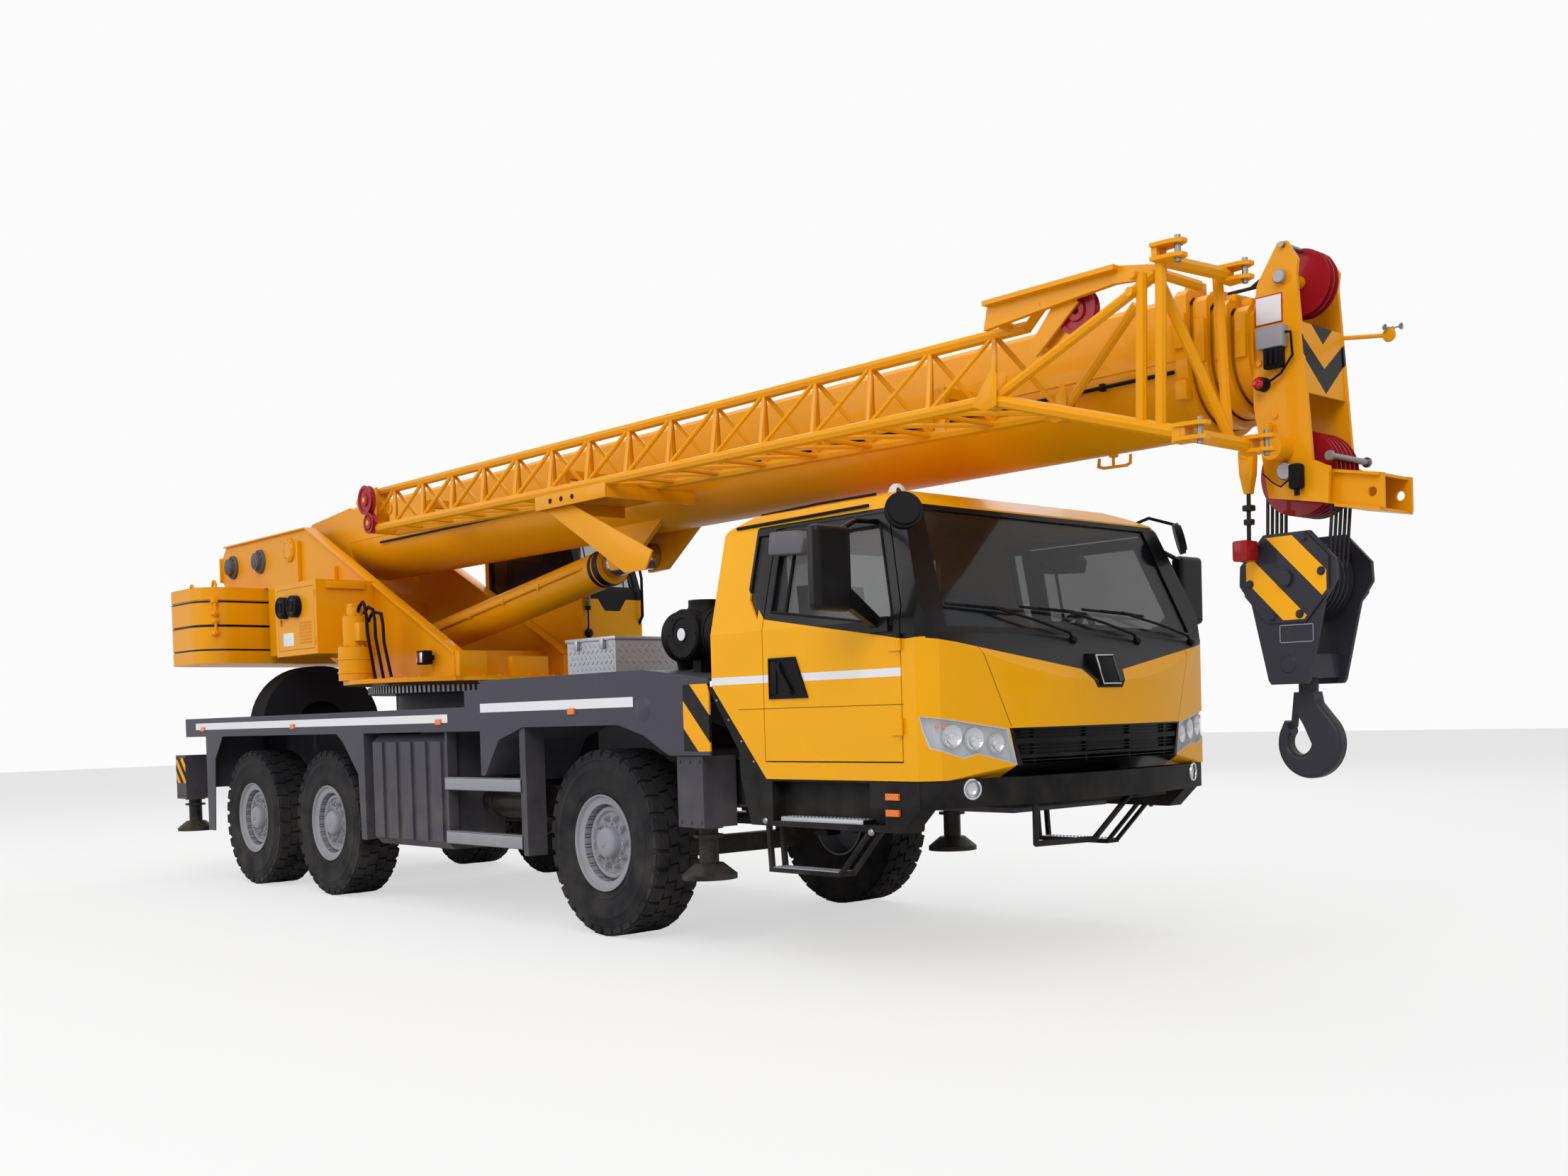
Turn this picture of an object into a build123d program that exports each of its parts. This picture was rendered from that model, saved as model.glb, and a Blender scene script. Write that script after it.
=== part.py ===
from build123d import *
import math
import os

# A three-axle mobile crane with a four-part telescopic boom, a stowed lattice jib and four outriggers.
# Millimetres. X points to the front, Y to the left, Z up. Z = 0 is the ground and X = 0 the front axle
# while the pieces are made. Each piece is then moved by row_shift, which puts X = 0 at mid length.

# running gear
tyre_radius = 630.0
tyre_width = 385.0
tread_width = 335.0
bead_radius = 262.0
rim_lip_radius = 326.0
body_half = 1272.0             # outer face of the deck fascias from the middle plane
wheel_face_y = body_half - 22  # outer side of each tyre
front_axle_x = 0.0
mid_axle_x = -4190.0
rear_axle_x = -5803.0
wheel_y = wheel_face_y - tyre_width / 2
hub_radius = 118.0
stub_radius = 60.0
steer_limit = 30.0
kingpin_y = 790.0

# clearances
seam = 8.0                     # round doors and other panels that open
running = 6.0                  # between pieces that slide past each other
seat = 0.3                     # between pieces that only rest on each other
pin_gap = 0.5                  # round pins in their bores

# chassis
skin = 14.0                    # fascia and deck plate
frame_half = 430.0
frame_wall = 20.0
frame_bottom = 860.0
frame_front_x = -1750.0        # the deep box ends here and two rails run on under the cab
frame_rear_x = -6900.0
rail_front_x = 2950.0
rail_depth = 222.0
rail_width = 90.0
rear_deck_top = 1580.0
deck_rear_x = -7330.0
deck_front_x = -1714.0
fascia_depth = 180.0
front_deck_top = 1770.0
front_deck_rear_x = -1500.0
front_deck_end_x = 1250.0
slope_start_x = 560.0          # the front deck slopes down from here
slope_drop = 80.0 / 730.0
spare_x = -7150.0
spare_z = 1478.0

# outriggers
beam_height = 270.0
beam_width = 170.0
cell_wall = 14.0
beam_base_z = 900.0
front_outrigger_x = 1010.0
rear_outrigger_x = -7570.0
outrigger_box_half = body_half - 312
jack_box = 262.0
jack_y = body_half - 154
jack_radius = 62.0
pad_radius = 175.0
pad_bottom_z = 440.0
beam_travel = 1650.0
jack_travel = 560.0

# driver's cab
cab_rear_x = 1310.0
cab_nose_x = 3330.0
cab_half = body_half + 18
nose_half = cab_half - 90      # where the nose's curve ends
nose_side_x = cab_nose_x - 200
cab_floor_z = 1180.0
cab_low_z = 1085.0
roof_z = 2700.0
cab_wall = 45.0
glass_thick = 8.0
door_rear_x = 1800.0
door_front_x = 2930.0
door_open = 68.0

# superstructure
slew_x = -3900.0
ring_radius = 890.0
ring_top_z = 1800.0
plate_half = 560.0             # outer face of the two side plates
plate_thick = 28.0
turntable_z = 1822.0
turntable_top_z = 1858.0
upper_top_z = 3400.0
upper_rear_x = -8060.0
pivot_x = -6340.0
pivot_z = 3230.0
pivot_pin = 60.0
winch_z = 3180.0
winch_xs = (-7760.0, -7060.0)
weight_front_x = -6985.0
weight_rear_x = -8050.0
weight_half = 1200.0
weight_bottom_z = 2135.0
weight_top_z = 2900.0
lug_reach = 140.0
lug_width = 120.0
lug_y = 900.0
lug_zs = (2420.0, 2640.0)
lug_bore_radius = 22.0
lug_bore_in = 45.0             # from the lug's tip to the middle of its bore

# boom
boom_half = 350.0
boom_bottom_z = 2880.0
boom_top_z = 3560.0
boom_wall = 14.0
section_gap = 26.0             # between one section's inside and the next one's outside
boom_front_x = 4150.0
boom_box_rear_x = -5450.0
section_step = 95.0            # each section stands this much further out than the one round it
section_inset = 150.0          # and starts this much further in
section_travel = 7600.0
collar_length = 70.0
luff_limit = 78.0

# luffing cylinder
lower_pin = (-4750.0, 2210.0)
upper_pin = (-1250.0, 2735.0)
barrel_radius = 150.0
rod_radius = 105.0
cylinder_pin = 50.0

# boom head and hook
head_half = 212.0
flange_thick = 16.0
head_plate = 22.0
head_x = boom_front_x + 3 * section_step   # where the last section ends and the head starts
top_sheave = (head_x + 175, 3565.0, 170.0)     # x, z and radius
low_sheave = (head_x + 185, 2600.0, 215.0)
block_sheave_radius = 200.0
groove_depth = 38.0
sheave_width = 44.0
rope_radius = 10.0
sheave_pin = 32.0
block_x = head_x + 155
block_top_z = 2300.0
block_bottom_z = 1540.0
block_pin_z = 2070.0
yoke_bottom_z = block_bottom_z + 30
bowl_bottom_z = 1181.0
bracket_x = head_x + 345                   # where the nose bracket leaves the head plates
bracket_reach = 320.0
front_reach_x = bracket_x + bracket_reach
nose_bore_radius = 24.0
nose_bore_x = front_reach_x - 60
nose_bore_z = 2455.0
nose_plate_y = 131.0           # inner face of each plate of the nose bracket
nose_plate = 18.0


def block(x0, x1, y0, y1, z0, z1):
    """A box between two corners."""
    return Pos((x0 + x1) / 2, (y0 + y1) / 2, (z0 + z1) / 2) * Box(abs(x1 - x0), abs(y1 - y0), abs(z1 - z0))


def side_plate(points, y0, y1):
    """An outline of (x, z) points with its faces at y0 and y1."""
    low, high = min(y0, y1), max(y0, y1)
    plane = Plane(origin=(0, high, 0), x_dir=(1, 0, 0), z_dir=(0, -1, 0))
    return extrude(plane * make_face(Polyline(*points, close=True)), high - low)


def floor_plate(points, z0, z1):
    """An outline of (x, y) points with its faces at z0 and z1."""
    return extrude(Pos(0, 0, z0) * make_face(Polyline(*points, close=True)), z1 - z0)


def cross_plate(points, x0, x1):
    """An outline of (y, z) points with its faces at x0 and x1."""
    plane = Plane(origin=(x0, 0, 0), x_dir=(0, 1, 0), z_dir=(1, 0, 0))
    return extrude(plane * make_face(Polyline(*points, close=True)), x1 - x0)


def rod_between(start, end, radius, sides=0):
    """A round bar from start to end, or a bar with that many flat sides."""
    start, end = Vector(*start), Vector(*end)
    along = end - start
    plane = Plane(origin=start, z_dir=along)
    outline = RegularPolygon(radius, sides) if sides else Circle(radius)
    return extrude(plane * outline, along.length)


def across(x, z, radius, y0, y1):
    """A round bar along Y."""
    return rod_between((x, min(y0, y1), z), (x, max(y0, y1), z), radius)


def upright(x, y, radius, z0, z1):
    """A round bar along Z."""
    return Pos(x, y, (z0 + z1) / 2) * Cylinder(radius, z1 - z0)


def turned(profile, x, y, z, outward):
    """A (radius, offset) profile turned about the Y axis through x, z. Offsets grow towards outward."""
    face = make_face(Polyline(*[(r, 0, o) for r, o in profile], close=True))
    body = revolve(face, Axis.Z)
    return Pos(x, y, z) * (Rot(-90 * outward, 0, 0) * body)


def both_sides(piece):
    """The piece and its mirror image on the other side of the middle plane."""
    return [piece, mirror(piece, Plane.XZ)]


def fuse(*pieces):
    flat = []
    for piece in pieces:
        flat += list(piece) if isinstance(piece, (list, tuple)) else [piece]
    whole = flat[0]
    for piece in flat[1:]:
        whole = whole + piece
    return whole


def loose(*pieces):
    """Several solids in one node that don't touch each other."""
    solids = []
    for piece in pieces:
        group = piece if isinstance(piece, (list, tuple)) else [piece]
        for one in group:
            solids += list(one.solids())
    return Compound(solids)


parts = {}


# wheels. A tyre is turned in flat steps, and the lowest flat lies on the ground.
tyre_sides = 48


def stepped_ring(profile):
    """A (radius, offset) profile round the Y axis in flat steps.

    A radius is the distance to the middle of a flat.
    """
    step = 2 * math.pi / tyre_sides
    to_corner = 1 / math.cos(step / 2)

    def corner(number, radius, offset_y):
        angle = (number + 0.5) * step
        return radius * to_corner * math.sin(angle), offset_y, -radius * to_corner * math.cos(angle)

    faces = []
    for number in range(tyre_sides):
        for (r0, y0), (r1, y1) in zip(profile, profile[1:] + profile[:1]):
            quad = [corner(number, r0, y0), corner(number + 1, r0, y0), corner(number + 1, r1, y1),
                    corner(number, r1, y1)]
            faces += [make_face(Polyline(*quad, close=True))]
    return Solid(Shell(faces))


def left_tyre():
    half = tyre_width / 2
    tread = tread_width / 2
    return stepped_ring([(bead_radius, -half + 20), (tyre_radius, -tread), (tyre_radius, tread),
                         (tyre_radius - 75, half), (rim_lip_radius, half - 12), (bead_radius, half - 45)])


def rim(x, y, outward):
    half = tyre_width / 2
    lip = half - 12 + 6
    profile = [(stub_radius + 0.05, -150), (bead_radius - seat, -150), (bead_radius - seat, half - 45 + seat),
               (rim_lip_radius - 4, lip - 5), (rim_lip_radius - 22, lip), (235, half - 75), (215, half - 100),
               (hub_radius, half - 90), (hub_radius - 12, half - 14), (stub_radius + 0.05, half - 14)]
    return turned(profile, x, y * outward, tyre_radius, outward)


sides = (("left", 1), ("right", -1))
axles = (("front", front_axle_x), ("mid", mid_axle_x), ("rear", rear_axle_x))
tyre_forms = {1: left_tyre(), -1: mirror(left_tyre(), Plane.XZ)}
for axle_name, axle_x in axles:
    for side_name, outward in sides:
        parts[f"tyre_{axle_name}_{side_name}"] = Pos(axle_x, wheel_y * outward,
                                                     tyre_radius) * tyre_forms[outward]
        parts[f"rim_{axle_name}_{side_name}"] = rim(axle_x, wheel_y, outward)


# steering knuckles
knuckle_head_z = (tyre_radius - 95, tyre_radius + 95)
stub_end_y = wheel_face_y - 60
kingpin_head = 45.0
kingpin_radius = 24.0


def knuckle():
    web_y = kingpin_y + kingpin_head + running
    fork = block(-75, 75, kingpin_y - 60, web_y + 25, *knuckle_head_z)
    slot = block(-90, 90, kingpin_y - 75, web_y, tyre_radius - 55, tyre_radius + 55)
    bore = upright(front_axle_x, kingpin_y, kingpin_radius, knuckle_head_z[0] - 1, knuckle_head_z[1] + 1)
    stub = across(front_axle_x, tyre_radius, stub_radius, web_y + 5, stub_end_y)
    return fork - slot - bore + stub


left_knuckle = knuckle()
parts["knuckle_left"] = left_knuckle
parts["knuckle_right"] = mirror(left_knuckle, Plane.XZ)


# axles, springs and propeller shafts, all carried by the chassis
def front_axle():
    beam_half = kingpin_y - 60 - 1
    dropped = [(-beam_half, tyre_radius - 49), (-beam_half, tyre_radius + 49), (-520, tyre_radius + 49),
               (-470, tyre_radius - 20), (470, tyre_radius - 20), (520, tyre_radius + 49),
               (beam_half, tyre_radius + 49), (beam_half, tyre_radius - 49), (520, tyre_radius - 60),
               (400, tyre_radius - 150), (-400, tyre_radius - 150), (-520, tyre_radius - 60)]
    beam = cross_plate(dropped, -55, 55)
    heads = []
    for side in (1, -1):
        head = upright(0, side * kingpin_y, kingpin_head, tyre_radius - 49, tyre_radius + 49)
        neck = block(-kingpin_head, kingpin_head, side * (beam_half - 2), side * kingpin_y,
                     tyre_radius - 49, tyre_radius + 49)
        pin = upright(0, side * kingpin_y, kingpin_radius - pin_gap, *knuckle_head_z)
        heads += [head + neck + pin]
    return fuse(beam, heads)


def driven_axle(x):
    casing_half = wheel_y - tyre_width / 2 - 45
    tube = rod_between((x, -casing_half, tyre_radius), (x, casing_half, tyre_radius), 85)
    bowl = Pos(x, 0, tyre_radius) * Sphere(215)
    stubs = rod_between((x, -stub_end_y, tyre_radius), (x, stub_end_y, tyre_radius), stub_radius)
    return tube + bowl + stubs


def leaf_spring(x, y, reach, drop_z):
    """Stacked leaves clamped over an axle, hung from the rail at both ends."""
    stack = []
    for number in range(4):
        length = reach - number * 0.2 * reach
        stack += [block(x - length, x + length, y - 45, y + 45, drop_z - (number + 1) * 22,
                        drop_z - number * 22)]
    eyes = [block(x + s * reach - 30, x + s * reach + 30, y - 45, y + 45, drop_z - 22,
                  frame_bottom) for s in (1, -1)]
    return fuse(stack, eyes)


spring_top = 780.0
front_spring_y = 375.0
rear_spring_y = 385.0
axle_solids = [front_axle()]
for x in (mid_axle_x, rear_axle_x):
    axle_solids += [driven_axle(x)]
springs = []
spring_places = ((front_axle_x, front_spring_y, 560), (mid_axle_x, rear_spring_y, 520),
                 (rear_axle_x, rear_spring_y, 520))
for x, y, reach in spring_places:
    for side in (1, -1):
        leaves = leaf_spring(x, side * y, reach, spring_top)
        clamp_low = tyre_radius - 20 if x == front_axle_x else tyre_radius + 60
        springs += [leaves + block(x - 55, x + 55, side * y - 45, side * y + 45, clamp_low, spring_top - 60)]
shaft_z = tyre_radius + 20
shaft_ends = ((mid_axle_x - 214, rear_axle_x + 214), (-1500.0, mid_axle_x + 214))
axle_group = fuse(axle_solids, springs)
for start, end in shaft_ends:
    axle_group = axle_group + rod_between((end - 20, 0, shaft_z), (start + 20, 0, shaft_z), 55)
parts["axles"] = axle_group


# chassis frame
def outrigger_cells(x):
    """The cross box at x with its two open cells, one for each beam."""
    total = 2 * (beam_width + 2 * running) + 3 * cell_wall
    shell = block(x - total / 2, x + total / 2, -outrigger_box_half, outrigger_box_half,
                  beam_base_z - cell_wall, beam_base_z + beam_height + 2 * running + cell_wall)
    cells = []
    for side in (1, -1):
        middle = x + side * beam_offset
        cells += [block(middle - beam_width / 2 - running, middle + beam_width / 2 + running,
                        -outrigger_box_half - 1, outrigger_box_half + 1, beam_base_z,
                        beam_base_z + beam_height + 2 * running)]
    return shell, cells


beam_offset = (beam_width + 2 * running + cell_wall) / 2


def chassis_frame():
    top = rear_deck_top - skin - seat
    spine = block(frame_rear_x, frame_front_x, -frame_half, frame_half, frame_bottom, top)
    hollow = block(frame_rear_x - 1, frame_front_x - 40, -frame_half + frame_wall, frame_half - frame_wall,
                   frame_bottom + frame_wall, top - frame_wall)
    rails = both_sides(block(frame_front_x, rail_front_x, frame_half - rail_width, frame_half,
                             frame_bottom, frame_bottom + rail_depth))
    front_tie = block(rail_front_x - 80, rail_front_x, -frame_half, frame_half, frame_bottom,
                      frame_bottom + rail_depth)
    cradle_low = spare_z - tyre_radius - seat - 40
    tail_plate = block(frame_rear_x - 30, frame_rear_x, -720, 720, cradle_low, 1480)
    cradle = block(rear_outrigger_x + 195, frame_rear_x, -280, 280, cradle_low, spare_z - tyre_radius - seat)
    cradle = cradle + block(rear_outrigger_x + 195, rear_outrigger_x + 215, -280, 280, cradle_low,
                            beam_base_z + 60)
    tail_arms = both_sides(block(rear_outrigger_x, frame_rear_x, 660, 700, beam_base_z - cell_wall, 1180))
    pedestal = upright(slew_x, 0, 640, top - 200, ring_top_z - 70)
    whole = fuse(spine - hollow, rails, front_tie, tail_plate, tail_arms, cradle)
    whole = whole + (pedestal - block(slew_x - 700, slew_x + 700, -700, 700, top - 300, top - 1))
    for x in (front_outrigger_x, rear_outrigger_x):
        shell, cells = outrigger_cells(x)
        whole = whole + shell
        for cell in cells:
            whole = whole - cell
    spare_well = block(spare_x - tyre_width / 2 + 12, spare_x + tyre_width / 2 - 12, -tyre_radius,
                       tyre_radius, spare_z - tyre_radius - seat, 2200)
    return whole - spare_well


def slew_ring():
    outer = upright(slew_x, 0, ring_radius - 30, ring_top_z - 70 + seat, ring_top_z)
    return outer - upright(slew_x, 0, 560, ring_top_z - 200, ring_top_z + 100)


parts["chassis_frame"] = loose(chassis_frame(), slew_ring())


# side tanks between the mid wheel and the ladder
tank = {"rear": mid_axle_x + tyre_radius + 260, "front": -2090.0, "low": 490.0, "high": 1385.0,
        "inner": 740.0,
        "outer": body_half - 32, "rib": 18.0}


# rear deck: plate, side fascias and the posts at the mudguards
post_thick = 8.0


def rear_deck():
    deck = block(deck_rear_x, deck_front_x, -body_half, body_half, rear_deck_top - skin, rear_deck_top)
    spare_gap = block(deck_rear_x - 1, spare_x + tyre_width / 2 + 12, -650, 650, rear_deck_top - 100,
                      rear_deck_top + 1)
    deck = deck - spare_gap
    pedestal_hole = upright(slew_x, 0, 640 + 1, rear_deck_top - 100, rear_deck_top + 10)
    fascia = block(deck_rear_x, deck_front_x, body_half - skin, body_half, rear_deck_top - fascia_depth,
                   rear_deck_top)
    rear_edge = rear_axle_x - tyre_radius - 377
    rear_outline = [(rear_edge, 1400), (rear_edge + 420, 1400), (rear_edge + 220, 1180),
                    (rear_edge + 160, 480), (rear_edge, 480)]
    rear_post = side_plate(rear_outline, body_half - post_thick, body_half)
    front_edge = tank["rear"] - 90
    mid_outline = [(front_edge - 510, 1400), (front_edge, 1400), (front_edge, 520), (front_edge - 90, 520),
                   (front_edge - 120, 1060), (front_edge - 390, 1330)]
    mid_post = side_plate(mid_outline, body_half - post_thick, body_half)
    rear_return = block(rear_edge, rear_edge + post_thick, 700.3, body_half, 900, 1400)
    mid_return = block(front_edge - post_thick, front_edge, 760, body_half, 520, 1400)
    return fuse(deck - pedestal_hole, both_sides(fascia), both_sides(rear_post), both_sides(mid_post),
                both_sides(rear_return), both_sides(mid_return))


parts["rear_deck"] = rear_deck()


# front deck: raised cover over the front wheels with its arches
front_deck_low_z = front_deck_top - (front_deck_end_x - slope_start_x) * slope_drop
arch = [(-1440, 1070), (-1240, 1330), (-910, 1420), (280, 1420), (560, 1350), (785, 1240)]
arch_outline = [(front_deck_rear_x, 1560), (front_deck_rear_x, 1070)] + arch + [
    (840, 1220), (front_deck_end_x, 1220), (front_deck_end_x, front_deck_low_z),
                                                                                (slope_start_x,
                                                                                 front_deck_top),
    (front_deck_rear_x + 60, front_deck_top), (front_deck_rear_x, front_deck_top - 30)]
step_top = 1704.0


def front_deck():
    fascia = side_plate(arch_outline, body_half - skin, body_half)
    cover = block(front_deck_rear_x, slope_start_x, -body_half, body_half, front_deck_top - skin,
                  front_deck_top)
    slope = side_plate([(slope_start_x, front_deck_top), (front_deck_end_x, front_deck_low_z),
                        (front_deck_end_x, front_deck_low_z - skin), (slope_start_x, front_deck_top - skin)],
                       -body_half, body_half)
    above = [(-1450, 1075), (-1246, 1338), (-912, 1428), (282, 1428), (565, 1357), (785, 1250)]
    guard = side_plate(arch + above[::-1], 520, body_half - 1)
    post = block(-960, -900, body_half - 172, body_half - skin, 500, 1424)
    step_plate = block(deck_front_x, front_deck_rear_x, -body_half, body_half, step_top - skin, step_top)
    step_back = block(deck_front_x, deck_front_x + skin, -body_half, body_half, rear_deck_top + seat,
                      step_top)
    step_side = block(deck_front_x, front_deck_rear_x, body_half - skin, body_half, 1400, step_top)
    return fuse(cover, slope, both_sides(fascia), both_sides(guard), both_sides(post), step_plate, step_back,
                both_sides(step_side))


def side_tank():
    body = block(tank["rear"], tank["front"], tank["inner"], tank["outer"], tank["low"], tank["high"])
    body = chamfer(body.edges().filter_by(Axis.X), 60)
    ribs = []
    count = 5
    pitch = (tank["front"] - tank["rear"]) / count
    for number in range(count):
        middle = tank["rear"] + pitch * (number + 0.5)
        ribs += [block(middle - 80, middle + 80, tank["outer"] - 1, tank["outer"] + tank["rib"],
                       tank["low"] + 60, tank["high"] - 60)]
    bracket = block(tank["rear"] + 300, tank["rear"] + 420, frame_half + seat, tank["inner"], 950, 1300)
    bracket2 = block(tank["front"] - 420, tank["front"] - 300, frame_half + seat, tank["inner"], 950, 1300)
    return fuse(body, ribs, bracket, bracket2)


parts["side_tanks"] = loose(both_sides(side_tank()))


# ladders between tank and arch
def ladder():
    rear = tank["front"] + 20
    inner = body_half - 102
    rungs = [block(rear, -970, inner, body_half - 10, low, low + 95) for low in (545, 955)]
    rails = [block(rear, rear + 30, inner, body_half - 22, 545, 1395),
             block(-990, -959, inner - 60, body_half - 22, 545, 1395)]
    return fuse(rungs, rails)


parts["front_deck"] = fuse(front_deck(), both_sides(ladder()))


# driver's cab. The outer form is where a side outline, a plan outline and a front outline meet.
def cab_plan(inset, z0, z1):
    """The plan outline with its curved nose, drawn in by inset, between two heights."""
    corner_x = nose_side_x - (cab_half - nose_half)
    nose = ThreePointArc((nose_side_x, -nose_half), (cab_nose_x, 0), (nose_side_x, nose_half))
    rest = Polyline((nose_side_x, nose_half), (corner_x, cab_half), (1000, cab_half), (1000, -cab_half),
                    (corner_x, -cab_half), (nose_side_x, -nose_half))
    return extrude(Pos(0, 0, z0) * offset(make_face([nose, rest]), -inset), z1 - z0)


def cab_form(inset):
    side = [(cab_rear_x, 1640), (1800, cab_low_z), (3140, cab_low_z), (cab_nose_x, 1190), (cab_nose_x, 1600),
            (3120, 1870), (2830, 2600), (2600, roof_z), (1480, 2672), (cab_rear_x, 2590)]
    side_face = offset(make_face(Polyline(*side, close=True)), -inset)
    plane = Plane(origin=(0, cab_half + 50, 0), x_dir=(1, 0, 0), z_dir=(0, -1, 0))
    side_solid = extrude(plane * side_face, 2 * cab_half + 100)
    plan_solid = cab_plan(inset, 900, 3000)
    front = [(-cab_half, 900), (-cab_half, 1950), (140 - cab_half, 2560), (250 - cab_half, 2660),
             (-700, roof_z + 60),
             (700, roof_z + 60), (cab_half - 250, 2660), (cab_half - 140, 2560), (cab_half, 1950),
             (cab_half, 900)]
    front_plane = Plane(origin=(900, 0, 0), x_dir=(0, 1, 0), z_dir=(1, 0, 0))
    front_solid = extrude(front_plane * offset(make_face(Polyline(*front, close=True)), -inset), 2800)
    form = side_solid & plan_solid & front_solid
    if inset:
        form = form & block(cab_rear_x + inset, cab_nose_x + 200, -cab_half, cab_half, 900 + inset, 3000)
    return form


door_outline = [(door_rear_x, cab_floor_z + 10), (door_front_x, cab_floor_z + 10), (door_front_x, 2010),
                (2735, 2540), (door_rear_x, 2540)]
side_window = [(1870, 2060), (2860, 1930), (2860, 1990), (2680, 2470), (1870, 2470)]
quarter_window = [(1640, 2140), (1740, 2010), (1740, 2520), (1640, 2520)]
screen = [(-1110, 1905), (1110, 1905), (1000, 2560), (-1000, 2560)]
rear_window = [(-700, 2080), (700, 2080), (700, 2500), (-700, 2500)]


def grown(points, margin):
    return offset(make_face(Polyline(*points, close=True)), margin)


def side_prism(points, margin, y0, y1):
    plane = Plane(origin=(0, max(y0, y1), 0), x_dir=(1, 0, 0), z_dir=(0, -1, 0))
    return extrude(plane * grown(points, margin), abs(y1 - y0))


def cross_prism(points, margin, x0, x1):
    plane = Plane(origin=(x0, 0, 0), x_dir=(0, 1, 0), z_dir=(1, 0, 0))
    return extrude(plane * grown(points, margin), x1 - x0)


cab_outer = cab_form(0)
cab_inner = cab_form(cab_wall)
cab_void = cab_inner & block(cab_rear_x, 4000, -2000, 2000, cab_floor_z, 3000)
glass_outer = cab_form(12)
glass_inner = cab_form(12 + glass_thick)
glass_skin = glass_outer - glass_inner
shell = cab_outer - cab_void
side_reach = (cab_half - 390, cab_half + 210)      # y range of the cuts in a side
door_zone = side_prism(door_outline, 0, *side_reach)
door_hole = side_prism(door_outline, seam, *side_reach)
window_cut = side_prism(side_window, 0, *side_reach)
hinge_radius = 14.0
hinge_x = door_front_x + seam / 2
hinge_y = cab_half + hinge_radius + seat


def door_mirror():
    """A rounded housing on a foot at the belt and a bent arm at the top of the door frame."""
    case = Pos(2755, cab_half + 330, 2215) * Box(90, 260, 450)
    case = fillet(case.edges(), 34)
    foot = cross_plate([(cab_half - 8, 1890), (cab_half - 8, 1960), (cab_half + 200, 2110),
                        (cab_half + 300, 2040), (cab_half + 190, 2000), (cab_half + 60, 1930)], 2735, 2785)
    shoe = block(2700, 2860, cab_half - 8, cab_half + 22, 1885, 1965)
    bend = ((2650, cab_half - 130, 2500), (2690, cab_half + 70, 2490), (2750, cab_half + 280, 2405))
    arms = [rod_between(bend[0], bend[1], 15), rod_between(bend[1], bend[2], 15), Pos(*bend[1]) * Sphere(15)]
    return fuse(case, foot, shoe, arms)


def cab_door():
    panel = (shell & door_zone) - window_cut + (door_mirror() - cab_inner)
    for low in (1330, 1780):
        panel = panel + upright(hinge_x, hinge_y, hinge_radius, low, low + 90)
        panel = panel + block(door_front_x - 70, door_front_x, cab_half - 1, cab_half + 12, low, low + 90)
        panel = panel + block(door_front_x - 1, hinge_x, cab_half + 4, cab_half + 12, low, low + 90)
    return panel


left_door = cab_door()
left_door_glass = glass_skin & side_prism(side_window, -seat, *side_reach)

# pockets in the nose: head lamps behind clear lenses, and the grille between them, as (y, z) points
head_lamp = [(cab_half - 12, 1424), (803, 1344), (745, 1158), (984, 1223), (1075, 1203),
             (cab_half - 51, 1261), (cab_half - 27, 1342)]
grille = [(-705, 1156), (705, 1156), (762, 1343), (-762, 1343)]
pocket_depth = 38.0
lens_in = 3.0                  # from the cab's skin to a lens
lens_thick = 6.0
nose_range = (nose_side_x - 90, cab_nose_x + 70)
pocket_skin = cab_outer - cab_form(pocket_depth)
lamp_pockets = both_sides(pocket_skin & cross_prism(head_lamp, 0, *nose_range))
grille_pocket = pocket_skin & cross_prism(grille, 0, *nose_range)
lens_skin = cab_form(lens_in) - cab_form(lens_in + lens_thick)
lamp_lens = lens_skin & cross_prism(head_lamp, -seat, *nose_range)

cab_shell = shell
for cut in both_sides(door_hole) + both_sides(side_prism(quarter_window, 0,
                                                         *side_reach)) + lamp_pockets + [grille_pocket]:
    cab_shell = cab_shell - cut
cab_shell = cab_shell - cross_prism(screen, 0, 2600, 3600) - cross_prism(rear_window, 0, 1200, 1500)
pane = glass_skin & cross_prism(screen, -seat, 2600, 3600)
rear_pane = glass_skin & cross_prism(rear_window, -seat, 1200, 1500)
quarter_pane = glass_skin & side_prism(quarter_window, -seat, *side_reach)
fog_lamp = (nose_half - 178, 1032.0)                # y and z
fog_radius = 46.0


def fog_hole(radius):
    y, z = fog_lamp
    return rod_between((nose_side_x - 60, y, z), (cab_nose_x, y, z), radius)


bumper_in = 10.0               # from the cab's plan outline to the bumper's face
fog_lens_in = bumper_in + lens_in
fog_lens = (cab_plan(fog_lens_in, 950, 1100) - cab_plan(fog_lens_in + lens_thick, 950,
                                                        1100)) & fog_hole(fog_radius - seat)
parts["cab_shell"] = cab_shell
parts["cab_glass"] = loose(pane, rear_pane, both_sides(quarter_pane), both_sides(lamp_lens),
                           both_sides(fog_lens))
parts["cab_door_left"] = left_door
parts["cab_door_right"] = mirror(left_door, Plane.XZ)
parts["door_glass_left"] = left_door_glass
parts["door_glass_right"] = mirror(left_door_glass, Plane.XZ)


# bumper with its fog lamp holes, side skirts with the step box, trim behind the cab's sloped corner,
# the hanging steps, the bar step and the bars of the grille
bumper_top = cab_low_z - seat
bumper_low = 935.0
skirt_inner = cab_half - 140
step_box = {"rear": 1838.0, "front": 2778.0, "low": 842.0, "high": 1072.0, "depth": 95.0}
grille_bars = ((1186.0, 1206.0), (1264.0, 1292.0))


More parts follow.
